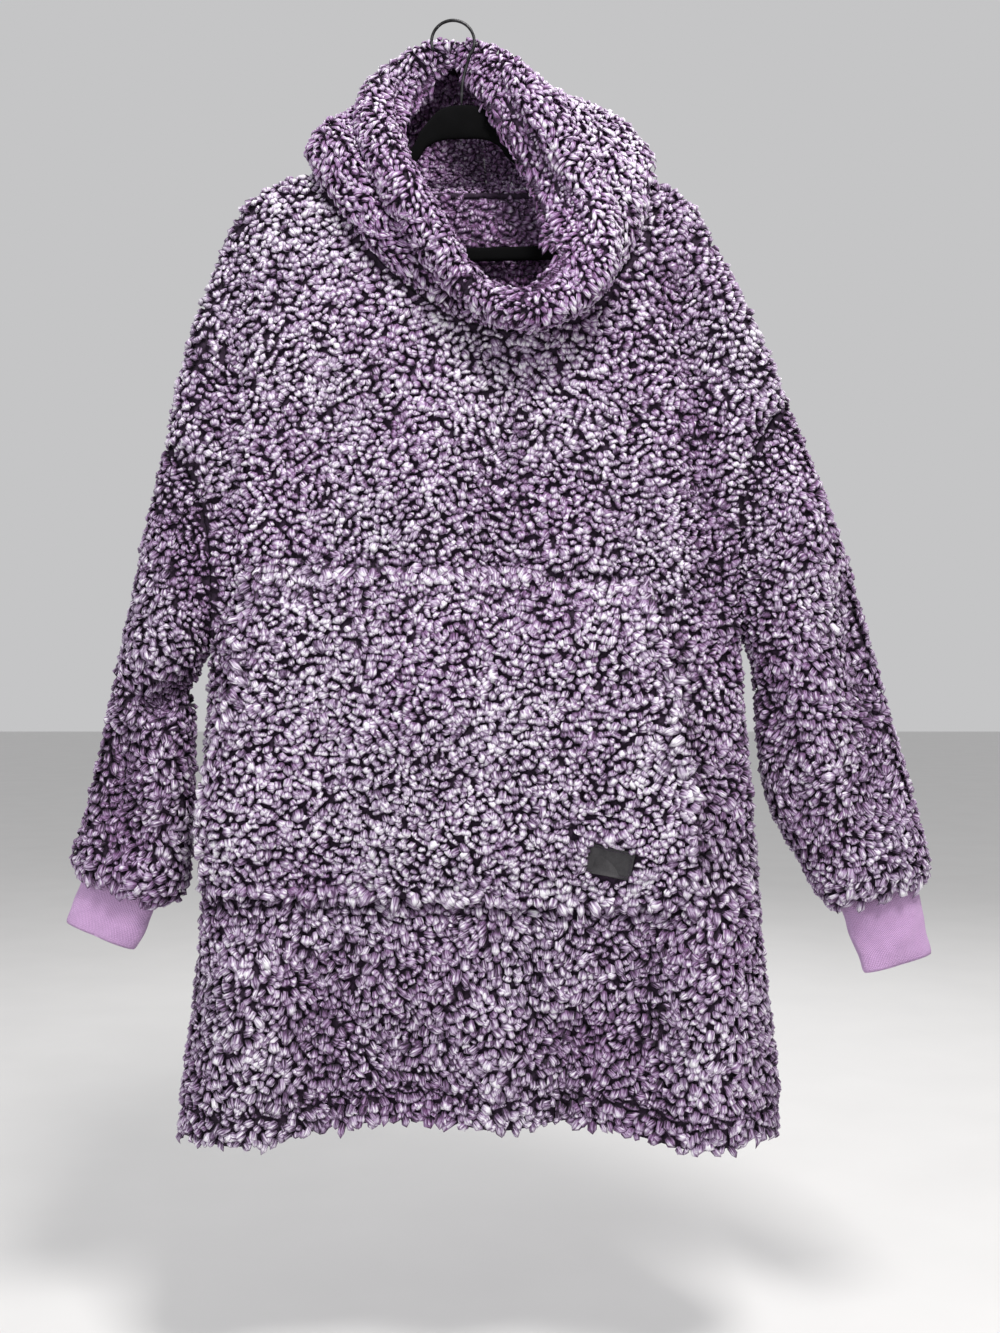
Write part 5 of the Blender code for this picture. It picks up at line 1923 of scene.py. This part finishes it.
def make_hook():
    """Make the wire hook with rounded ends."""
    centre_z = WIRE / 2 - HOOK_RADIUS
    angles = np.linspace(HOOK_OPEN_FROM, HOOK_OPEN_TO, HOOK_STEPS)
    ring_x = HOOK_X + HOOK_RADIUS * np.cos(angles)
    ring_z = centre_z + HOOK_RADIUS * np.sin(angles)
    foot_x, foot_z = hanger_place(0.0, HANGER_ROWS[0].out_z + SEAM_GAP)
    neck = [(foot_x, foot_z), (foot_x + 1, HOOK_NECK_Z), (foot_x + 4, HOOK_NECK_Z + 14)]
    rows = np.array([*neck, *zip(ring_x, ring_z)])
    lead = curve(rows, np.linspace(0, 5, 30))
    path = np.concatenate([lead, rows[6:]])
    path = np.stack([path[:, 0], 0 * path[:, 0], path[:, 1]], axis=-1)
    mesh = tube_mesh("hook_wire", path, rounded_ends(len(path), WIRE / 2), WIRE_SIDES)
    piece = link_object("hook_wire", mesh, material_of("Dark Wire"))
    settle_piece(piece, "wire", "hanger_hook")


# Stage


def make_camera():
    """Look at the garment as the photograph does."""
    data = bpy.data.cameras.new("camera")
    data.sensor_fit = "VERTICAL"
    data.sensor_height = 36.0
    data.lens = data.sensor_height * CAMERA_AWAY / FRAME_HEIGHT
    camera = bpy.data.objects.new("camera", data)
    camera.location = (CAMERA_X, -CAMERA_AWAY, CAMERA_Z)
    camera.rotation_euler = (math.radians(90), 0, 0)
    bpy.context.scene.collection.objects.link(camera)
    bpy.context.scene.camera = camera


def make_light(light, power):
    """Add a square area light that faces the garment."""
    data = bpy.data.lights.new(light.name, "AREA")
    data.size = light.size
    data.energy = power
    data.color = light.tint
    lamp = bpy.data.objects.new(light.name, data)
    lamp.location = light.place
    way = np.array(LIGHT_TARGET) - np.array(light.place)
    lamp.rotation_euler = (
        math.atan2(math.hypot(way[0], way[1]), -way[2]),
        0.0,
        math.atan2(-way[0], way[1]),
    )
    bpy.context.scene.collection.objects.link(lamp)


def make_floor_and_lights():
    """Make the pale floor, the pale surroundings and the soft lights."""
    stage = bpy.context.scene.hoodie_stage
    half = stage.floor_size / 2
    level = -stage.floor_drop
    mesh = bpy.data.meshes.new("floor")
    corners = [(-half, -half, level), (half, -half, level), (half, half, level), (-half, half, level)]
    mesh.from_pydata(corners, [], [(0, 1, 2, 3)])
    floor = link_object("floor", mesh, material_of("Pale Floor"))
    world = bpy.data.worlds.new("surroundings")
    world.use_nodes = True
    background = world.node_tree.nodes["Background"]
    background.inputs["Color"].default_value = (*stage.world_colour, 1)
    background.inputs["Strength"].default_value = stage.world_strength
    bpy.context.scene.world = world
    for light in LIGHTS:
        make_light(light, getattr(stage, light.name + "_power"))
    bpy.context.scene.view_settings.view_transform = "Standard"


# Settings


def colour_setting(name, description, default):
    """Return a colour property."""
    return bpy.props.FloatVectorProperty(
        name=name, description=description, default=default, min=0, max=1, subtype="COLOR",
    )


class HoodieSherpa(bpy.types.PropertyGroup):
    """Sizes and colours of the pile."""

    lock_spacing: bpy.props.FloatProperty(
        name="Lock spacing", description="Share of the usual space between locks",
        default=1.0, min=0.8, max=3.0, subtype="FACTOR",
    )
    lock_length: bpy.props.FloatProperty(
        name="Lock length", description="Share of the usual length of a lock",
        default=1.0, min=0.5, max=1.3, subtype="FACTOR",
    )
    # Near black: deep purple darkened with painted shade between the locks
    root_colour: colour_setting("Roots", "Colour at the roots of the pile", (0.010, 0.004, 0.012))
    # Deep purple darkened with painted shade between the locks
    backing_colour: colour_setting(
        "Backing", "Colour of the backing between the locks", (0.040, 0.018, 0.048)
    )
    purple_colour: colour_setting("Purple", "Colour along the shaded pile", (0.115, 0.062, 0.138))
    lilac_colour: colour_setting("Lilac", "Colour along the lit pile", (0.42, 0.34, 0.47))
    frost_colour: colour_setting("Frost", "Colour of the pale tips", (0.80, 0.78, 0.82))
    plum_colour: colour_setting("Plum", "Warmer colour along the shaded pile", (0.185, 0.072, 0.205))
    pink_colour: colour_setting("Pink", "Warmer colour along the lit pile", (0.42, 0.29, 0.49))


class HoodieTrim(bpy.types.PropertyGroup):
    """Sizes and colours of cuffs, label and hanger."""

    rib_spacing: bpy.props.FloatProperty(
        name="Rib spacing", description="Distance from one rib of the cuffs to the next",
        default=0.0016, min=0.0005, max=0.01, unit="LENGTH", precision=4,
    )
    rib_colour: colour_setting("Rib", "Colour of the cuffs", (0.74, 0.46, 0.79))
    # Painted shade between the ribs
    rib_shade_colour: colour_setting(
        "Rib shade", "Colour of the cuffs between the ribs", (0.46, 0.28, 0.51)
    )
    leather_colour: colour_setting("Leather", "Colour of the label", (0.050, 0.048, 0.052))
    stitch_length: bpy.props.FloatProperty(
        name="Stitch length", description="Length of a stitch round the label",
        default=0.0026, min=0.001, max=0.01, unit="LENGTH", precision=4,
    )
    velvet_colour: colour_setting("Flock", "Colour of the hanger", (0.0016, 0.0016, 0.0018))


class HoodieStage(bpy.types.PropertyGroup):
    """Floor and light."""

    floor_drop: bpy.props.FloatProperty(
        name="Floor drop", description="Depth of the floor under the hook",
        default=1.36, min=1.13, max=4.0, unit="LENGTH",
    )
    floor_size: bpy.props.FloatProperty(
        name="Floor size", description="Length of the floor's sides",
        default=30.0, min=2.0, max=100.0, unit="LENGTH",
    )
    floor_colour: colour_setting("Floor", "Colour of the floor", (0.70, 0.695, 0.69))
    world_colour: colour_setting("Surroundings", "Colour of the surroundings", (0.90, 0.90, 0.91))
    world_strength: bpy.props.FloatProperty(
        name="Surrounding light", description="Strength of the surrounding light",
        default=0.62, min=0, max=5,
    )
    key_power: bpy.props.FloatProperty(
        name="Key light", description="Power of the main light, in watts",
        default=74.0, min=0, max=2000,
    )
    fill_power: bpy.props.FloatProperty(
        name="Fill light", description="Power of the light from the other side, in watts",
        default=12.0, min=0, max=2000,
    )
    back_power: bpy.props.FloatProperty(
        name="Back light", description="Power of the light from behind, in watts",
        default=26.0, min=0, max=2000,
    )


# Operators


class MakeStage(bpy.types.Operator):
    """Make the camera, floor, surroundings and lights."""

    bl_idname = "hoodie.make_stage"
    bl_label = "Stage"

    def execute(self, context):
        make_camera()
        make_floor_and_lights()
        return {"FINISHED"}


class MakeHanger(bpy.types.Operator):
    """Make the flocked hanger and its hook."""

    bl_idname = "hoodie.make_hanger"
    bl_label = "Hanger"

    def execute(self, context):
        make_hanger()
        make_hook()
        return {"FINISHED"}


class MakeFront(bpy.types.Operator):
    """Make the front with its pile."""

    bl_idname = "hoodie.make_front"
    bl_label = "Front"

    def execute(self, context):
        make_panel("front", -1, FRONT_PILE, 11)
        return {"FINISHED"}


class MakeBack(bpy.types.Operator):
    """Make the back with its pile, and the lining that shows under the neck."""

    bl_idname = "hoodie.make_back"
    bl_label = "Back"

    def execute(self, context):
        make_panel("back", 1, BACK_PILE, 21)
        make_back_lining()
        make_neck_seam()
        return {"FINISHED"}


class MakeSleeves(bpy.types.Operator):
    """Make both sleeves with their pile."""

    bl_idname = "hoodie.make_sleeves"
    bl_label = "Sleeves"

    def execute(self, context):
        right_folds = RIGHT_SLEEVE_FOLDS + RIGHT_SLEEVE_CREASES
        left_folds = LEFT_SLEEVE_FOLDS + LEFT_SLEEVE_CREASES
        make_sleeve("sleeve_right", RIGHT_SLEEVE, right_folds, -1, 31)
        make_sleeve("sleeve_left", LEFT_SLEEVE, left_folds, 1, 51)
        return {"FINISHED"}


class MakeCuffs(bpy.types.Operator):
    """Make both rib cuffs."""

    bl_idname = "hoodie.make_cuffs"
    bl_label = "Cuffs"

    def execute(self, context):
        make_cuff("cuff_right", RIGHT_CUFF, RIGHT_CUFF_FOLDS, 61)
        make_cuff("cuff_left", LEFT_CUFF, LEFT_CUFF_FOLDS, 65)
        return {"FINISHED"}


class MakeHood(bpy.types.Operator):
    """Make both sides of the hood with their casing and pile."""

    bl_idname = "hoodie.make_hood"
    bl_label = "Hood"

    def execute(self, context):
        crossing = int(np.argmin(np.abs(hood_turns() - HOOD_CROSSING_TURN)))
        make_hood("hood_right", crossing, COLUMNS, 81)
        make_hood("hood_left", COLUMNS, 2 * COLUMNS + crossing, 91)
        return {"FINISHED"}


class MakePocket(bpy.types.Operator):
    """Make the kangaroo pocket and the label on it."""

    bl_idname = "hoodie.make_pocket"
    bl_label = "Pocket and label"

    def execute(self, context):
        make_pocket()
        make_patch()
        return {"FINISHED"}


PIECES = (MakeStage, MakeHanger, MakeFront, MakeBack, MakeSleeves, MakeCuffs, MakeHood, MakePocket)
GROUPS = (
    ("hoodie_sherpa", HoodieSherpa),
    ("hoodie_trim", HoodieTrim),
    ("hoodie_stage", HoodieStage),
)


class HoodiePanel(bpy.types.Panel):
    """Lists the settings and the pieces."""

    bl_idname = "VIEW3D_PT_hoodie"
    bl_label = "Blanket Hoodie"
    bl_space_type = "VIEW_3D"
    bl_region_type = "UI"
    bl_category = "Hoodie"

    def draw(self, context):
        layout = self.layout
        for piece in PIECES:
            layout.operator(piece.bl_idname)
        for name, group in GROUPS:
            box = layout.box()
            for key in group.__annotations__:
                box.prop(getattr(context.scene, name), key)


def register():
    """Register the settings, operators and panel."""
    for name, group in GROUPS:
        bpy.utils.register_class(group)
        setattr(bpy.types.Scene, name, bpy.props.PointerProperty(type=group))
    for piece in PIECES:
        bpy.utils.register_class(piece)
    bpy.utils.register_class(HoodiePanel)


def unregister():
    """Remove the panel, operators and settings."""
    bpy.utils.unregister_class(HoodiePanel)
    for piece in reversed(PIECES):
        bpy.utils.unregister_class(piece)
    for name, group in reversed(GROUPS):
        delattr(bpy.types.Scene, name)
        bpy.utils.unregister_class(group)


def main():
    """Make every piece in order."""
    register()
    bpy.ops.hoodie.make_stage()
    bpy.ops.hoodie.make_hanger()
    bpy.ops.hoodie.make_front()
    bpy.ops.hoodie.make_back()
    bpy.ops.hoodie.make_sleeves()
    bpy.ops.hoodie.make_cuffs()
    bpy.ops.hoodie.make_hood()
    bpy.ops.hoodie.make_pocket()


if __name__ == "__main__":
    main()
